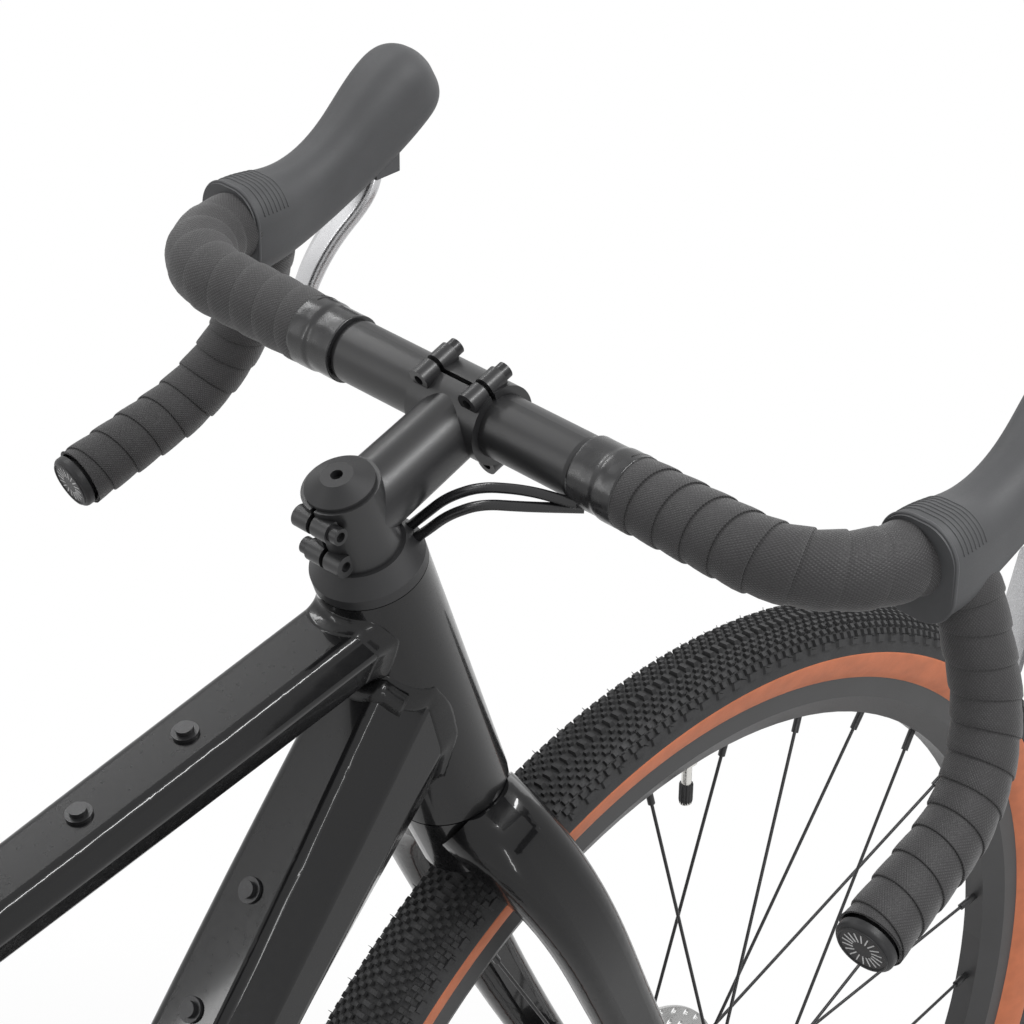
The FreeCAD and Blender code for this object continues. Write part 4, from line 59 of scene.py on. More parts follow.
# Lights: name, place, aim, size in metres, radiance
LAMPS = (
    ("key", (0.75, -0.95, 2.35), (0.30, 0.0, 0.85), (1.4, 0.14), 42.0),
    ("top", (0.35, 1.55, 2.3), (0.20, 0.0, 0.80), (1.4, 0.16), 17.0),
    ("rear", (-1.55, 1.3, 1.7), (0.1, 0.0, 0.6), (0.12, 1.5), 12.0),
    ("front", (2.6, 0.5, 1.5), (0.2, 0.0, 0.6), (1.2, 1.2), 2.0),
    ("side", (-0.9, -2.4, 0.9), (0.3, 0.0, 0.7), (0.12, 1.4), 16.0),
)
WHITE = (1, 1, 1, 1)
WORLD_LIGHT = 0.36
FLOOR_SIZE = 14
FLOOR_COLOUR = (0.88, 0.88, 0.88, 1)
# The floor turns to plain white between these distances; nearer by it keeps this share of white
SHADOW_REACH = (0.55, 1.05)
SHADOW_KEPT = 0.5

# Materials: the part of a noise that is used, its detail, and the colour mix node's sockets
NOISE_SPAN = (0.3, 0.7)
PATCH_DETAIL = 3.0
FINE_DETAIL = 2.0
MIX_FIRST, MIX_SECOND, MIX_RESULT = 6, 7, 2

# Handlebar line, left half, from the clamp's centre outwards
BAR_CENTRE = Vector((0.354094, 0, 0.935899))
BAR_CORNERS = (
    (0, 0, 0),
    (0, 0.21816, 0),
    (0.082, 0.228, -0.006),
    (0.082, 0.264, -0.116),
    (-0.0234, 0.2746, -0.1484),
)
BAR_BENDS = (0.051, 0.036, 0.072)
LINE_STEP = 0.0005
TAPE_START = 0.104
TAPE_END_GAP = 0.002
TAPE_PITCH = 0.0165
TAPE_OVERLAP = 1.35
TAPE_SAMPLES = 44
TAPE_THICKNESS = 0.0011
TAPE_TOP_RADIUS = 0.0161
TAPE_DROP_RADIUS = 0.0146
TAPE_THINNING = (0.252, 0.29)
# Section of the ribbon: share of its width, height in thicknesses
TAPE_PROFILE = (
    (0.0, 1.05),
    (0.0, 1.8),
    (0.03, 2.0),
    (0.2, 1.95),
    (0.45, 1.62),
    (0.74, 1.0),
    (1.0, 0.95),
    (1.0, 0.1),
    (0.5, 0.3),
)
TAPE_RIB_LEANS = (math.radians(35), math.radians(-35))
TAPE_RIB_SCALE = 260.0
TAPE_RIB_PRESS = 0.55
TAPE_RIB_DEPTH = 0.0004
# Colour shares in the weave's grooves and on its raised crossings: painted shade and painted
# highlight
TAPE_GROOVE_SHADE_AND_RIB_HIGHLIGHT = (0.75, 1.5)
TAPE_SHARP = math.radians(40)
BAND_SPAN = (0.0795, 0.1075)
BAND_RADIUS = 0.0174
BAND_WALL = 0.0018
BAND_EDGE_SHARE = 0.4
BAND_STEP_SHARE = 0.35
BAND_STEP_SPAN = (0.5, 0.62)
BAND_RINGS = 30
BAND_CRINKLE = 0.00028
BAND_CRINKLE_SIZE = 0.009
ROUND_SAMPLES = 64

# Wheels
AXLE_HEIGHT = 0.355
AXLES = {"front": 0.5245, "rear": -0.5245}
# Half of a tyre's section from the rim to the crown: distance out, radius
TYRE_CURVE = (
    (0.01425, 0.3158),
    (0.0189, 0.3222),
    (0.0222, 0.3326),
    (0.0217, 0.3415),
    (0.0186, 0.3478),
    (0.0118, 0.3514),
    (0.0, 0.3526),
)
CURVE_STEPS = 8
TAN_HEIGHT = 0.3352
TYRE_WALL = 0.002
WHEEL_SAMPLES = 240
KNOB_COUNT = 336
KNOB_SINK = 0.0008
KNOB_TOP_SHARE = 0.74
# Knob rows: place on the half section from the crown (0) to the rim (1), width, length, height,
# shift round the wheel
KNOB_ROWS = (
    (0.0, 0.0070, 0.0034, 0.0024, 0.0),
    (0.078, 0.0028, 0.0030, 0.0022, 0.5),
    (0.129, 0.0030, 0.0032, 0.0022, 0.0),
    (0.186, 0.0032, 0.0030, 0.0022, 0.5),
    (0.268, 0.0036, 0.0036, 0.0021, 0.0),
    (0.360, 0.0040, 0.0038, 0.0019, 0.5),
)
SIDE_KNOBS = (0.452, 0.0050, 0.0080, 0.0014, 0.0)
SIDE_KNOB_EVERY = 2
HAIR_PLACES = (0.22, 0.42)
HAIR_WIDTH = 0.0007
HAIR_LENGTH = 0.0042
HAIR_EVERY = 3
HAIR_SHIFT = 0.25
HAIR_TOP_SHARE = 0.3
# Valve cap: radius and height above the axle, from its closed end to its open one
VALVE_CAP = (
    (0.0018, 0.2599),
    (0.0035, 0.2608),
    (0.0038, 0.2625),
    (0.0038, 0.2733),
    (0.0030, 0.2737),
)
VALVE_FLUTES = 14
VALVE_FLUTE_DEPTH = 0.00018
VALVE_SAMPLES = 84

# Saddle
SADDLE_NOSE = Vector((-0.2028, 0, 0.9998))
SADDLE_LENGTH = 0.268
SADDLE_WIDTH = 0.146
SADDLE_DEPTH = 0.040
# Sections: share of the length from the nose, of the width, of the crown, of the depth
SADDLE_SECTIONS = (
    (0.0, 0.2, 0.86, 0.5),
    (0.1, 0.27, 0.95, 0.75),
    (0.34, 0.33, 0.94, 0.9),
    (0.6, 0.56, 0.95, 1.0),
    (0.8, 0.94, 1.02, 1.0),
    (0.93, 0.98, 1.06, 0.85),
    (1.0, 0.72, 1.02, 0.5),
)
SADDLE_ROWS = 60
SADDLE_AROUND = 72
SADDLE_EDGE_SHARE = 0.42
# Powers that square off the saddle's section: across, over the edge, under the edge
SADDLE_POWERS = (0.72, 0.8, 0.7)
# Relief channel: depth, middle and reach as shares of the length, half width
CHANNEL_DEPTH = 0.006
CHANNEL_MIDDLE = 0.55
CHANNEL_REACH = 0.28
CHANNEL_WIDTH = 0.011
CHANNEL_END_POWER = 4
# Swell beside the channel: height, distance from the middle, half width
SWELL_HEIGHT = 0.003
SWELL_PLACE = 0.03
SWELL_WIDTH = 0.02
# Stitched groove under the edge: depth, and level and width on the section's round
GROOVE_DEPTH = 0.0011
GROOVE_LEVEL = -0.12
GROOVE_WIDTH = 0.05

# Weld bands at the head tube. The foot and direction of the steering axis, then for each band its
# name and tube, where the tube's upper face meets the axis, the tube's slope in degrees, how far
# back along it and under that face the probing starts, and the reach on the tube and the head tube
HEAD_FOOT = Vector((0.341287, 0, 0.727368))
STEER_UP = Vector((-0.32557, 0, 0.94552))
WELDS = (
    ("top_tube_weld", "top_tube", 0.144, 11.5, 0.085, 0.018, 0.009, 0.005),
    ("down_tube_weld", "down_tube", 0.125, 51.75, 0.064, 0.04, 0.009, 0.005),
)
WELD_PROBE = 0.06
WELD_NEAR_PROBE = 0.02
WELD_SAMPLES = 120
WELD_STEPS = 9
WELD_SINK = 0.0025
WELD_LIFT = 0.0002
WELD_BOW = 0.0005
WELD_WAVE = 0.1
WELD_WAVES = 9

# Ribs and lip of the hoods, whose places are shares of the hood's length, and the spokes and ring
# of the bar-end plugs
BEAD_SIDES = 8
HOOD_BACK = 0.051
HOOD_LENGTH = 0.136
HOOD_OUT = 0.228
HOOD_SINK = -0.006
HOOD_PROBE = 0.06
HOOD_SAMPLES = 48
HOOD_RIBS = 7
HOOD_RIB_START = 0.05
HOOD_RIB_STEP = 0.021
HOOD_RIB_SPREAD = math.radians(62)
HOOD_RIB_RADIUS = 0.00045
HOOD_LIP_PLACE = 0.012
HOOD_LIP_RADIUS = 0.0011
PLUG_LENGTH = 0.005
PLUG_SPOKE_SPAN = (0.005, 0.0105)
PLUG_SPOKE_RADIUS = 0.00035
PLUG_SPOKES = 18
PLUG_STEPS = 6
PLUG_RING = 0.0128
PLUG_RING_RADIUS = 0.0006


def add_node(tree, kind, settings=None, **inputs):
    """A shader node whose inputs are values or other nodes' outputs."""
    made = tree.nodes.new(kind)
    for name, value in (settings or {}).items():
        setattr(made, name, value)
    for name, value in inputs.items():
        socket = made.inputs[name.replace("_", " ")]
        if isinstance(value, bpy.types.NodeSocket):
            tree.links.new(value, socket)
        else:
            socket.default_value = value
    return made


def noise_value(tree, coords, size, detail):
    """A noise whose grains are about size metres across."""
    made = add_node(tree, "ShaderNodeTexNoise", Vector=coords, Scale=1 / size, Detail=detail)
    return made.outputs["Fac"]


def ranged(tree, value, low, high, span=NOISE_SPAN, kind="LINEAR"):
    """A value's span spread over low to high."""
    made = add_node(tree, "ShaderNodeMapRange", {"interpolation_type": kind}, Value=value)
    for name, bound in zip(("From Min", "From Max", "To Min", "To Max"), (*span, low, high)):
        made.inputs[name].default_value = bound
    return made.outputs["Result"]


def mixed(tree, factor, first, second):
    """One colour turning into another."""
    made = add_node(tree, "ShaderNodeMix", {"data_type": "RGBA"}, Factor=factor)
    made.inputs[MIX_FIRST].default_value = first
    made.inputs[MIX_SECOND].default_value = second
    return made.outputs[MIX_RESULT]


def blended(tree, factor, first, second, output):
    """One shader turning into another, led to the tree's output node."""
    both = tree.nodes.new("ShaderNodeMixShader")
    for place, value in enumerate((factor, first, second)):
        tree.links.new(value, both.inputs[place])
    tree.links.new(both.outputs["Shader"], tree.nodes[output].inputs["Surface"])


def calculated(tree, operation, first, second):
    """Two values put together by a math node."""
    made = add_node(tree, "ShaderNodeMath", {"operation": operation})
    for place, value in enumerate((first, second)):
        tree.links.new(value, made.inputs[place])
    return made.outputs["Value"]


def shade(colour, share):
    """A colour made darker or lighter, with its alpha."""
    return tuple(part * share for part in colour) + (1,)


def surface(name, colour, roughness, spread, metallic=0.0, patch=0.03, grain=0.0006, bump=0.1,
            depth=0.0002, vary=0.25, coat=0.0, coat_rough=0.03, specular=0.5, sheen=0.0):
    """A material with patchy colour and roughness and a fine grain in the normal."""
    material = bpy.data.materials.new(name)
    material.use_nodes = True
    tree = material.node_tree
    shader = tree.nodes["Principled BSDF"]
    coords = tree.nodes.new("ShaderNodeTexCoord").outputs["Object"]
    patches = ranged(tree, noise_value(tree, coords, patch, PATCH_DETAIL), 0, 1)
    fine = noise_value(tree, coords, grain, FINE_DETAIL)
    tone = mixed(tree, patches, shade(colour, 1 - vary), shade(colour, 1 + vary))
    tree.links.new(tone, shader.inputs["Base Color"])
    rough = ranged(tree, fine, roughness - spread, roughness + spread)
    tree.links.new(rough, shader.inputs["Roughness"])
    dents = add_node(tree, "ShaderNodeBump", Height=fine, Strength=bump, Distance=depth)
    tree.links.new(dents.outputs["Normal"], shader.inputs["Normal"])
    shader.inputs["Metallic"].default_value = metallic
    shader.inputs["Specular IOR Level"].default_value = specular
    shader.inputs["Coat Weight"].default_value = coat
    shader.inputs["Coat Roughness"].default_value = coat_rough
    shader.inputs["Sheen Weight"].default_value = sheen
    return material


def diamond_tape(name, colour):
    """Woven tape: two crossing sets of fine diagonal ribs pressed into a matt cloth, its colour
    darker in the grooves and lighter on the raised crossings, as painted shade and painted
    highlight.
    """
    material = surface(name, colour, 0.62, 0.08, patch=0.02, grain=0.0012, vary=0.3, sheen=0.15)
    tree = material.node_tree
    shader = tree.nodes["Principled BSDF"]
    lengths = tree.nodes.new("ShaderNodeTexCoord").outputs["UV"]
    ribs = []
    for lean in TAPE_RIB_LEANS:
        turned = add_node(tree, "ShaderNodeMapping", Vector=lengths, Rotation=(0, 0, lean))
        wave = add_node(tree, "ShaderNodeTexWave", Vector=turned.outputs["Vector"],
                        Scale=TAPE_RIB_SCALE)
        ribs.append(wave.outputs["Fac"])
    weave = calculated(tree, "MULTIPLY", *ribs)
    press = add_node(tree, "ShaderNodeBump", Height=weave, Strength=TAPE_RIB_PRESS,
                     Distance=TAPE_RIB_DEPTH)
    tree.links.new(press.outputs["Normal"], shader.inputs["Normal"])
    # The colour follows the weave's relief: painted shade in the grooves, painted highlight on the
    # raised crossings
    tone = mixed(tree, weave, *(shade(colour, share) for share in TAPE_GROOVE_SHADE_AND_RIB_HIGHLIGHT))
    tree.links.new(tone, shader.inputs["Base Color"])
    return material


# Each finish: name, colour, roughness and its spread, then what differs from a plain surface
finishes = {
    "frame_paint": surface(
        "gloss_black_paint", (0.006, 0.006, 0.0065), 0.24, 0.04, patch=0.12, grain=0.004,
        bump=0.015, coat=0.45, coat_rough=0.05, specular=0.12),
    "fork_paint": surface(
        "gloss_black_composite", (0.006, 0.006, 0.0065), 0.24, 0.04, patch=0.12, grain=0.005,
        bump=0.015, coat=0.45, coat_rough=0.05, specular=0.12),
    "black_alloy": surface(
        "matt_black_anodised", (0.014, 0.014, 0.0148), 0.38, 0.07, grain=0.0004, bump=0.12,
        depth=0.0001, patch=0.05),
    "bar_tape": diamond_tape("woven_bar_tape", (0.021, 0.020, 0.021)),
    "hood_rubber": surface(
        "hood_rubber", (0.060, 0.061, 0.064), 0.62, 0.06, grain=0.0005, bump=0.14, vary=0.12),
    "lever_grey": surface(
        "lever_aluminium", (0.55, 0.55, 0.56), 0.3, 0.06, metallic=1.0, grain=0.0008, vary=0.08),
    "tyre_black": surface(
        "tread_rubber", (0.024, 0.024, 0.025), 0.72, 0.1, grain=0.0008, bump=0.3, patch=0.01),
    "rim_black": surface(
        "rim_black", (0.028, 0.028, 0.029), 0.45, 0.06, grain=0.0005, bump=0.08, vary=0.12),
    "spoke_black": surface(
        "spoke_black", (0.030, 0.030, 0.031), 0.32, 0.06, metallic=0.5, grain=0.001, vary=0.15),
    "silver_steel": surface(
        "silver_steel", (0.40, 0.40, 0.395), 0.3, 0.08, metallic=1.0, grain=0.0007, vary=0.1),
    "black_bolt": surface(
        "black_bolt", (0.018, 0.018, 0.019), 0.34, 0.08, metallic=0.3, grain=0.0005, bump=0.06),
    "hose_black": surface(
        "hose_black", (0.012, 0.012, 0.013), 0.24, 0.05, grain=0.0008, bump=0.05),
    "trim_black": surface(
        "moulded_black", (0.018, 0.018, 0.019), 0.48, 0.07, grain=0.0005, bump=0.12,
        specular=0.35),
    "saddle_skin": surface(
        "saddle_skin", (0.022, 0.022, 0.023), 0.5, 0.08, grain=0.0011, bump=0.35, vary=0.3),
    "valve_silver": surface(
        "valve_silver", (0.66, 0.65, 0.62), 0.25, 0.06, metallic=1.0, grain=0.0006, vary=0.1),
}
tan_rubber = surface(
    "tan_sidewall", (0.56, 0.17, 0.075), 0.62, 0.06, grain=0.0007, bump=0.15, patch=0.012,
    vary=0.1)
gloss_band = surface(
    "finishing_band", (0.016, 0.016, 0.017), 0.27, 0.08, grain=0.006, bump=0.12, patch=0.02)
satin_weld = surface(
    "satin_weld", (0.007, 0.007, 0.0075), 0.3, 0.06, grain=0.0022, bump=0.15, depth=0.0004,
    patch=0.01, coat=0.35, coat_rough=0.08, specular=0.15)
# Pale colour given to the bar-end plug's raised spokes
pale_spoke_colour = surface("pale_rib", (0.62, 0.62, 0.62), 0.5, 0.08, grain=0.0005, vary=0.1)


def add_object(name, data):
    """A new object in the scene."""
    made = bpy.data.objects.new(name, data)
    bpy.context.scene.collection.objects.link(made)
    return made


def mesh_piece(name, points, faces, material, body, smooth=True):
    """A piece of the scene that rides on a body and takes the given material."""
    mesh = bpy.data.meshes.new(name)
    mesh.from_pydata([tuple(point) for point in points], [], faces)
    mesh.validate()
    mesh.update()
    mesh.polygons.foreach_set("use_smooth", [smooth] * len(mesh.polygons))
    mesh.materials.append(material)
    made = add_object(name, mesh)
    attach(made, body)
    return made


def grid_faces(rows, columns, close_rows=False):
    """Quads over rows of points, each row a closed round of as many columns."""
    faces = []
    for row in range(rows if close_rows else rows - 1):
        here, there = row * columns, (row + 1) % rows * columns
        for column in range(columns):
            beside = (column + 1) % columns
            faces.append((here + column, here + beside, there + beside, there + column))
    return faces


def capped(faces, rows, columns):
    """Closes the first and the last row of a grid with one face each."""
    last = (rows - 1) * columns
    return faces + [tuple(reversed(range(columns))), tuple(range(last, last + columns))]


def smooth_curve(points, steps):
    """Catmull-Rom points through the given ones."""
    places = [Vector(point) for point in points]
    places = [places[0] * 2 - places[1]] + places + [places[-1] * 2 - places[-2]]
    found = []
    for before, start, end, after in zip(places, places[1:], places[2:], places[3:]):
        for step in range(steps):
            share = step / steps
            found.append(0.5 * (2 * start + (end - before) * share
                                + (2 * before - 5 * start + 4 * end - after) * share ** 2
                                + (3 * start - before - 3 * end + after) * share ** 3))
    return found + [places[-2]]


class BentLine:
    """The line of a bent tube: straight runs joined by arcs, with a frame carried along it."""

    def __init__(self, corners, radii):
        places = [Vector(corner) for corner in corners]
        points = [places[0]]
        for before, corner, after, radius in zip(places, places[1:], places[2:], radii):
            inward = (before - corner).normalized()
            outward = (after - corner).normalized()
            half = inward.angle(outward) / 2
            centre = corner + (inward + outward).normalized() * (radius / math.sin(half))
            start = corner + inward * (radius / math.tan(half)) - centre
            sweep = math.pi - 2 * half
            axis = inward.cross(outward).normalized()
            count = max(3, int(radius * sweep / LINE_STEP))
            points += [centre + Matrix.Rotation(-sweep * step / count, 3, axis) @ start
                       for step in range(count + 1)]
        points.append(places[-1])
        self.points = []
        for start, end in zip(points, points[1:]):
            count = max(1, int((end - start).length / LINE_STEP))
            self.points += [start.lerp(end, step / count) for step in range(count)]
        self.points.append(points[-1])
        self.places = [0.0]
        for start, end in zip(self.points, self.points[1:]):
            self.places.append(self.places[-1] + (end - start).length)
        self.length = self.places[-1]
        self.carry_frame()

    def carry_frame(self):
        """Directions along the line, and an upward one that turns no more than it must."""
        self.ways = [(end - start).normalized() for start, end in zip(self.points, self.points[1:])]
        self.ways.append(self.ways[-1])
        up = Vector((0, 0, 1))
        self.ups = []
        for way in self.ways:
            up = (up - way * up.dot(way)).normalized()
            self.ups.append(up)

    def at(self, place):
        """Point, direction and the two across directions at a place along the line."""
        index = min(int(place / self.length * (len(self.places) - 1)), len(self.places) - 2)
        while index and self.places[index] > place:
            index -= 1
        while index < len(self.places) - 2 and self.places[index + 1] < place:
            index += 1
        span = self.places[index + 1] - self.places[index]
        share = min(1, max(0, (place - self.places[index]) / span))
        way = self.ways[index]
        up = self.ups[index]
        return self.points[index].lerp(self.points[index + 1], share), way, up, way.cross(up)


def mirror_y(point, side):
    """A point of the left half, or its mirror image on the right."""
    return Vector((point[0], point[1] * side, point[2]))


def eased(value, low, high):
    """0 below low, 1 above high and a smooth step between."""
    share = min(1, max(0, (value - low) / (high - low)))
    return share * share * (3 - 2 * share)


def wind_tape(word, side):
    """One long ribbon wound round the bar from its end to the band, each turn lying on the last."""
    line = BentLine(BAR_CORNERS, BAR_BENDS)
    first, last = TAPE_START, line.length - TAPE_END_GAP
    width = TAPE_PITCH * TAPE_OVERLAP
    turns = (last - first + width) / TAPE_PITCH
    count = int(turns * TAPE_SAMPLES)
    points, lengths = [], []
    for step in range(count + 1):
        turn = turns * step / count
        edge = first + turn * TAPE_PITCH
        angle = TURN * turn
        for across, lift in TAPE_PROFILE:
            place = min(last, max(first, edge - across * width))
            centre, way, up, beside = line.at(place)
            thin = eased(place, *TAPE_THINNING)
            radius = TAPE_TOP_RADIUS * (1 - thin) + TAPE_DROP_RADIUS * thin + lift * TAPE_THICKNESS
            offset = up * (radius * math.cos(angle)) + beside * (radius * math.sin(angle))
            points.append(BAR_CENTRE + mirror_y(centre + offset, side))
            lengths.append((TURN * turn * TAPE_TOP_RADIUS, across * width))
    columns = len(TAPE_PROFILE)
    faces = capped(grid_faces(count + 1, columns), count + 1, columns)
    tape = mesh_piece(word + "_tape_winding", points, faces, finishes["bar_tape"],
                      "steering")
    layer = tape.data.uv_layers.new(name="lengths")
    for loop in tape.data.loops:
        layer.data[loop.index].uv = lengths[loop.vertex_index]
    tape.data.set_sharp_from_angle(angle=TAPE_SHARP)
    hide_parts(word + "_bar_tape")


def wrap_band(word, side):
    """The smooth finishing band that holds the tape's end beside the bare bar."""
    low, high = BAND_SPAN
    points = []
    shares = [(row / (BAND_RINGS - 1), 0.0) for row in range(BAND_RINGS)]
    edge = [(0.0, -BAND_WALL), (0.0, -BAND_WALL * BAND_EDGE_SHARE)]
    rows = edge + shares + [(1.0, -BAND_WALL)]
    for share, lift in rows:
        for step in range(ROUND_SAMPLES):
            angle = TURN * step / ROUND_SAMPLES
            place = low + (high - low) * share
            up, ahead = math.cos(angle), math.sin(angle)
            spot = Vector((place, up * BAND_RADIUS, ahead * BAND_RADIUS))
            crinkle = noise(spot / BAND_CRINKLE_SIZE) * BAND_CRINKLE
            step_up = BAND_WALL * BAND_STEP_SHARE * eased(share, *BAND_STEP_SPAN)
            radius = BAND_RADIUS + lift + crinkle + step_up
            points.append(BAR_CENTRE + mirror_y((radius * ahead, place, radius * up), side))
    faces = capped(grid_faces(len(rows), ROUND_SAMPLES), len(rows), ROUND_SAMPLES)
    mesh_piece(word + "_tape_band", points, faces, gloss_band, "steering")


def half_section():
    """The tyre's outer line from the rim to the crown, as (out, radius)."""
    return [(out, high) for out, high in smooth_curve(TYRE_CURVE, CURVE_STEPS)]


def lathe(name, outline, axle, material, body):
    """A closed outline of (out, radius) turned round a wheel's axle."""
    points = []
    for step in range(WHEEL_SAMPLES):
        angle = TURN * step / WHEEL_SAMPLES
        ahead, up = math.cos(angle), math.sin(angle)
        for out, radius in outline:
            points.append((axle + radius * ahead, out, AXLE_HEIGHT + radius * up))
    faces = grid_faces(WHEEL_SAMPLES, len(outline), close_rows=True)
    return mesh_piece(name, points, faces, material, body)


def thickened(outline, wall):
    """An open outline and its own copy inside, as one closed line."""
    inner = []
    for index, (out, radius) in enumerate(outline):
        before, after = outline[max(0, index - 1)], outline[min(len(outline) - 1, index + 1)]
        along = Vector((after[0] - before[0], after[1] - before[1])).normalized()
        inner.append((out + along.y * -wall, radius + along.x * wall))
    return list(outline) + inner[::-1]


def section_place(section, share):
    """Point, outward normal and sideways direction at a share of the way from crown to rim."""
    crown_first = section[::-1]
    place = share * (len(crown_first) - 1)
    index = min(int(place), len(crown_first) - 2)
    start, end = Vector(crown_first[index]), Vector(crown_first[index + 1])
    sideways = (end - start).normalized()
    return start.lerp(end, place - index), Vector((-sideways.y, sideways.x)), sideways


def frustum(centre, normal, sideways, ahead, width, length, height, top_share):
    """Eight corners of a tapered block standing on a surface."""
    corners = []
    for level, share in ((-KNOB_SINK, 1.0), (height, top_share)):
        for across, along in ((-1, -1), (1, -1), (1, 1), (-1, 1)):
            corners.append(centre + normal * level + sideways * (across * width * share / 2)
                           + ahead * (along * length * share / 2))
    return corners


BLOCK_FACES = ((0, 3, 2, 1), (4, 5, 6, 7), (0, 1, 5, 4), (1, 2, 6, 5), (2, 3, 7, 6), (3, 0, 4, 7))


def tread_blocks(section, axle):
    """The knobs of a tyre, in rows from the crown to both sides, with thin moulding hairs."""
    points, faces = [], []

    def stand(share, side, turned, width, length, height, top_share):
        angle = TURN * turned / KNOB_COUNT
        place, normal, sideways = section_place(section, share)
        spoke = Vector((math.cos(angle), 0, math.sin(angle)))
        ahead = Vector((-math.sin(angle), 0, math.cos(angle)))
        out = Vector((0, side, 0))
        centre = Vector((axle, 0, AXLE_HEIGHT)) + spoke * place.y + out * place.x
        rise = spoke * normal.y + out * normal.x
        across = spoke * sideways.y + out * sideways.x
        first = len(points)
        points.extend(frustum(centre, rise, across, ahead, width, length, height, top_share))
        for face in BLOCK_FACES:
            ordered = face if side > 0 else face[::-1]
            faces.append(tuple(first + corner for corner in ordered))

    for count in range(KNOB_COUNT):
        for share, width, length, height, shift in KNOB_ROWS:
            for side in SIDES.values() if share else (1,):
                stand(share, side, count + shift, width, length, height, KNOB_TOP_SHARE)
        if count % SIDE_KNOB_EVERY == 0:
            share, width, length, height, shift = SIDE_KNOBS
            for side in SIDES.values():
                stand(share, side, count + shift, width, length, height, KNOB_TOP_SHARE)
        if count % HAIR_EVERY == 0:
            for share in HAIR_PLACES:
                for side in SIDES.values():
                    stand(share, side, count + HAIR_SHIFT, HAIR_WIDTH, HAIR_WIDTH, HAIR_LENGTH,
                          HAIR_TOP_SHARE)
    return points, faces


def dress_tyre(word, axle):
    """A tyre's black tread with its knobs, and its two tan walls."""
    body = word + "_wheel"
    rubber = finishes["tyre_black"]
    section = half_section()
    wall = [point for point in section if point[1] <= TAN_HEIGHT]
    crown = section[len(wall) - 1:]
    tread = crown + [(-out, radius) for out, radius in crown[::-1][1:]]
    points, faces = tread_blocks(section, axle)
    outline = thickened(tread, TYRE_WALL)
    carcass = lathe(word + "_tyre_tread", outline, axle, rubber, body)
    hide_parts(word + "_tyre")
    mesh_piece(word + "_tyre_knobs", points, faces, rubber, body, smooth=False)
    for side_word, side in SIDES.items():
        outline = [(out * side, radius) for out, radius in thickened(wall, TYRE_WALL)]
        lathe(word + "_tyre_wall_" + side_word, outline[::side], axle, tan_rubber, body)


def cap_valve(word, axle):
    """The black fluted cap on a valve's end."""
    points = []
    for radius, height in VALVE_CAP:
        for step in range(VALVE_SAMPLES):
            angle = TURN * step / VALVE_SAMPLES
            across = radius + VALVE_FLUTE_DEPTH * math.cos(VALVE_FLUTES * angle)
            points.append((axle + across * math.cos(angle), across * math.sin(angle),
                           AXLE_HEIGHT + height))
    faces = capped(grid_faces(len(VALVE_CAP), VALVE_SAMPLES), len(VALVE_CAP), VALVE_SAMPLES)
    mesh_piece(word + "_valve_cap", points, faces, finishes["trim_black"],
               word + "_wheel")


def saddle_station(share):
    """Width, crown and depth shares at a share of the saddle's length."""
    for (start, *low), (end, *high) in zip(SADDLE_SECTIONS, SADDLE_SECTIONS[1:]):
        if share <= end:
            part = eased(share, start, end)
            return [first + (second - first) * part for first, second in zip(low, high)]
    return list(SADDLE_SECTIONS[-1][1:])


def bell(value, middle, width, power=2):
    """1 at the middle, falling away within about the width on both sides."""
    return math.exp(-((value - middle) / width) ** power)


def pad_saddle():
    """The saddle: a crowned skin over foam, with a long relief channel and a stitched edge."""
    across_power, over_power, under_power = SADDLE_POWERS
    points = []
    for row in range(SADDLE_ROWS + 1):
        share = row / SADDLE_ROWS
        wide, high, deep = saddle_station(share)
        half = SADDLE_WIDTH * wide / 2
        top = SADDLE_NOSE.z + SADDLE_DEPTH * high
        depth = SADDLE_DEPTH * deep
        channel = CHANNEL_DEPTH * bell(share, CHANNEL_MIDDLE, CHANNEL_REACH, CHANNEL_END_POWER)
        along = SADDLE_NOSE.x - SADDLE_LENGTH * share
        for step in range(SADDLE_AROUND):
            angle = TURN * step / SADDLE_AROUND
            across = math.copysign(abs(math.cos(angle)) ** across_power, math.cos(angle))
            rise = math.sin(angle)
            above, below = max(0, rise) ** over_power, max(0, -rise) ** under_power
            level = top - depth * SADDLE_EDGE_SHARE * (1 - above)
            level -= depth * (1 - SADDLE_EDGE_SHARE) * below
            if rise > 0:
                out = across * half
                level -= channel * bell(out, 0, CHANNEL_WIDTH)
                level += SWELL_HEIGHT * bell(out, math.copysign(SWELL_PLACE, across), SWELL_WIDTH)
            groove = GROOVE_DEPTH * bell(rise, GROOVE_LEVEL, GROOVE_WIDTH)
            points.append((along, across * (half - groove), level))
    rows = SADDLE_ROWS + 1
    faces = capped(grid_faces(rows, SADDLE_AROUND), rows, SADDLE_AROUND)
    saddle = mesh_piece("saddle_pad", points, faces, finishes["saddle_skin"],
                        "frame")
    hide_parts("saddle_cover")


def tree_of(node):
    """A CAD node's surface, for casting rays at it."""
    mesh = nodes[node].data
    return BVHTree.FromPolygons([vertex.co.copy() for vertex in mesh.vertices],
                                [tuple(polygon.vertices) for polygon in mesh.polygons])


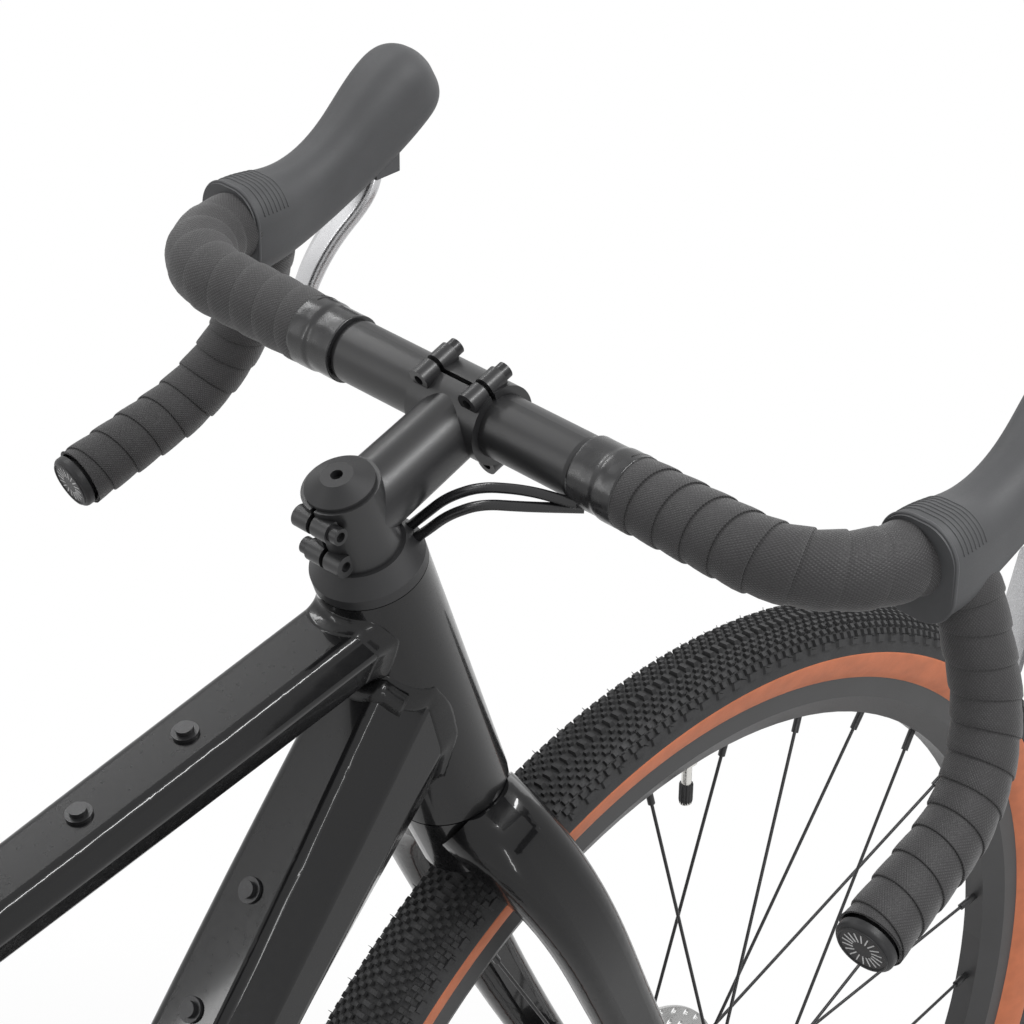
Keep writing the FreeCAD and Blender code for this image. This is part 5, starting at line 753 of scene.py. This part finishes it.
def weld(name, tube, meet, slope, along, sink, reach_tube, reach_base):
    """A smooth band over the joint of a tube and the head tube that it is welded to."""
    tube_tree, base_tree = tree_of(tube), tree_of("head_tube")
    tilt = math.radians(slope)
    way = Vector((math.cos(tilt), 0, math.sin(tilt)))
    up = Vector((-math.sin(tilt), 0, math.cos(tilt)))
    side = way.cross(up)
    start = HEAD_FOOT + STEER_UP * meet - way * along - up * sink
    points, rows = [], 0
    for step in range(WELD_SAMPLES):
        angle = TURN * step / WELD_SAMPLES
        outward = up * math.cos(angle) + side * math.sin(angle)
        skin = tube_tree.ray_cast(start + outward * WELD_PROBE, -outward)[0]
        if skin is None:
            continue
        joint, normal = base_tree.ray_cast(skin + outward * WELD_LIFT - way * WELD_PROBE, way)[:2]
        if joint is None:
            continue
        away = (outward - normal * outward.dot(normal)).normalized()
        on_tube = joint - way * reach_tube
        near = on_tube + outward * WELD_NEAR_PROBE
        skin_there = tube_tree.ray_cast(near, -outward)[0] or on_tube
        on_base = base_tree.find_nearest(joint + away * reach_base)[0]
        wave = 1 + WELD_WAVE * noise(Vector((math.cos(angle), math.sin(angle), 0)) * WELD_WAVES)
        bow = (outward - way).normalized() * (WELD_BOW * wave)
        for part in range(WELD_STEPS):
            share = part / (WELD_STEPS - 1)
            bowed = skin_there.lerp(joint, share).lerp(joint.lerp(on_base, share), share)
            points.append(bowed + bow * math.sin(math.pi * share))
        points.append(on_base - normal * WELD_SINK)
        points.append(joint - outward * WELD_SINK * 2 + way * WELD_SINK)
        points.append(skin_there - outward * WELD_SINK)
        rows += 1
    faces = grid_faces(rows, len(points) // rows, close_rows=True)
    mesh_piece(name, points, faces, satin_weld, "frame")


def cord_round(points, radius, closed):
    """Rings of a thin round bead along the given points, and its faces."""
    count = len(points)
    rings = []
    across = None
    for index, point in enumerate(points):
        before = points[index - 1 if closed else max(0, index - 1)]
        after = points[(index + 1) % count if closed else min(count - 1, index + 1)]
        way = (after - before).normalized()
        across = way.orthogonal() if across is None else across - way * across.dot(way)
        across.normalize()
        beside = way.cross(across)
        for step in range(BEAD_SIDES):
            angle = TURN * step / BEAD_SIDES
            rings.append(point + (across * math.cos(angle) + beside * math.sin(angle)) * radius)
    faces = grid_faces(count, BEAD_SIDES, close_rows=closed)
    return rings, faces if closed else capped(faces, count, BEAD_SIDES)


def join_beads(name, beads, material, body):
    """One piece made of several beads."""
    points, faces = [], []
    for rings, quads in beads:
        faces += [tuple(corner + len(points) for corner in quad) for quad in quads]
        points += rings
    mesh_piece(name, points, faces, material, body)


def rib_hood(word, side):
    """Fine raised ribs over the back of a hood and the rolled lip round its edge."""
    skin = tree_of(word + "_hood")

    def bead_over(along, spread, count, radius, closed):
        out = Vector((HOOD_BACK + along * HOOD_LENGTH, HOOD_OUT * side, HOOD_SINK))
        centre = BAR_CENTRE + out
        found = []
        for step in range(count):
            angle = spread * (step / (count if closed else count - 1) * 2 - 1)
            outward = Vector((0, math.sin(angle), math.cos(angle)))
            hit = skin.ray_cast(centre + outward * HOOD_PROBE, -outward)[0]
            if hit is not None:
                found.append(hit)
        return cord_round(found, radius, closed)

    places = [HOOD_RIB_START + HOOD_RIB_STEP * row for row in range(HOOD_RIBS)]
    beads = [bead_over(along, HOOD_RIB_SPREAD, HOOD_SAMPLES, HOOD_RIB_RADIUS, False)
             for along in places]
    beads.append(bead_over(HOOD_LIP_PLACE, math.pi, HOOD_SAMPLES * 2, HOOD_LIP_RADIUS, True))
    join_beads(word + "_hood_ribs", beads, finishes["hood_rubber"], "steering")


def face_plug(word, side):
    """Raised spokes and a rim ring on the face of a bar-end plug."""
    end, before = Vector(BAR_CORNERS[-1]), Vector(BAR_CORNERS[-2])
    way = (end - before).normalized()
    across = way.orthogonal().normalized()
    beside = way.cross(across)
    centre = end + way * PLUG_LENGTH

    def on_face(radius, angle):
        spot = centre + (across * math.cos(angle) + beside * math.sin(angle)) * radius
        return BAR_CENTRE + mirror_y(spot, side)

    low, high = PLUG_SPOKE_SPAN
    spokes = [cord_round([on_face(low + (high - low) * part / PLUG_STEPS, TURN * step / PLUG_SPOKES)
                          for part in range(PLUG_STEPS + 1)], PLUG_SPOKE_RADIUS, False)
              for step in range(PLUG_SPOKES)]
    join_beads(word + "_plug_spokes", spokes, pale_spoke_colour, "steering")
    round_face = [on_face(PLUG_RING, TURN * step / ROUND_SAMPLES) for step in range(ROUND_SAMPLES)]
    ring = cord_round(round_face, PLUG_RING_RADIUS, True)
    join_beads(word + "_plug_ring", [ring], finishes["trim_black"], "steering")


def make_camera():
    """The photograph's own view."""
    camera = add_object("photo_camera", bpy.data.cameras.new("photo_camera"))
    turn = Matrix((CAMERA_RIGHT, -CAMERA_DOWN, -CAMERA_AHEAD)).transposed().to_4x4()
    camera.matrix_world = Matrix.Translation(CAMERA_PLACE) @ turn
    camera.data.sensor_width = SENSOR_MM
    camera.data.lens = FOCAL_PIXELS / FRAME_PIXELS * SENSOR_MM
    camera.data.clip_start, camera.data.clip_end = CAMERA_CLIP
    bpy.context.scene.camera = camera


def make_lamps():
    """Soft boxes of an even radiance."""
    for name, place, aim, (long_side, short_side), radiance in LAMPS:
        lamp = bpy.data.lights.new(name, "AREA")
        lamp.shape = "RECTANGLE"
        lamp.size = long_side
        lamp.size_y = short_side
        lamp.energy = radiance * math.pi * long_side * short_side
        holder = add_object(name, lamp)
        holder.location = place
        holder.rotation_mode = "QUATERNION"
        holder.rotation_quaternion = (Vector(aim) - Vector(place)).to_track_quat("-Z", "Y")


def seen_rays(tree):
    """1 for rays that see the white: the camera's own, and those off gloss and through glass."""
    rays = tree.nodes.new("ShaderNodeLightPath")
    seen = rays.outputs["Is Camera Ray"]
    for name in ("Is Glossy Ray", "Is Transmission Ray"):
        seen = calculated(tree, "MAXIMUM", seen, rays.outputs[name])
    return seen


def make_world():
    """A white background over a dimmer even light."""
    world = bpy.data.worlds.new("studio")
    bpy.context.scene.world = world
    world.use_nodes = True
    tree = world.node_tree
    light = tree.nodes["Background"]
    light.inputs["Color"].default_value = WHITE
    light.inputs["Strength"].default_value = WORLD_LIGHT
    white = add_node(tree, "ShaderNodeBackground", Color=WHITE, Strength=1.0)
    blended(tree, seen_rays(tree), light.outputs["Background"], white.outputs["Background"],
            "World Output")


def make_floor():
    """A pale floor that keeps the shadow near the bike and is white further off."""
    half = FLOOR_SIZE / 2
    corners = [(-half, -half, 0), (half, -half, 0), (half, half, 0), (-half, half, 0)]
    mesh = bpy.data.meshes.new("studio_floor")
    mesh.from_pydata(corners, [], [(0, 1, 2, 3)])
    floor = add_object("studio_floor", mesh)
    material = bpy.data.materials.new("pale_floor")
    material.use_nodes = True
    tree = material.node_tree
    tree.nodes.remove(tree.nodes["Principled BSDF"])
    matt = add_node(tree, "ShaderNodeBsdfDiffuse", Color=FLOOR_COLOUR)
    white = add_node(tree, "ShaderNodeEmission", Color=WHITE, Strength=1.0)
    coords = tree.nodes.new("ShaderNodeTexCoord").outputs["Object"]
    far = add_node(tree, "ShaderNodeVectorMath", {"operation": "LENGTH"}, Vector=coords)
    fade = ranged(tree, far.outputs["Value"], SHADOW_KEPT, 1.0, SHADOW_REACH, "SMOOTHSTEP")
    share = calculated(tree, "MULTIPLY", seen_rays(tree), fade)
    blended(tree, share, matt.outputs["BSDF"], white.outputs["Emission"], "Material Output")
    mesh.materials.append(material)


def dress_nodes():
    """Every CAD node takes the finish of its own slot."""
    for part in frame["record"]["subparts"]:
        mesh = nodes[part["node"]].data
        mesh.materials.clear()
        mesh.materials.append(finishes[part["material_slot"]])


dress_nodes()
for word, side in SIDES.items():
    wind_tape(word, side)
    wrap_band(word, side)
    rib_hood(word, side)
    face_plug(word, side)
for word, axle in AXLES.items():
    dress_tyre(word, axle)
    cap_valve(word, axle)
pad_saddle()
for numbers in WELDS:
    weld(*numbers)
make_camera()
make_lamps()
make_world()
make_floor()
bpy.context.scene.view_settings.view_transform = "Standard"
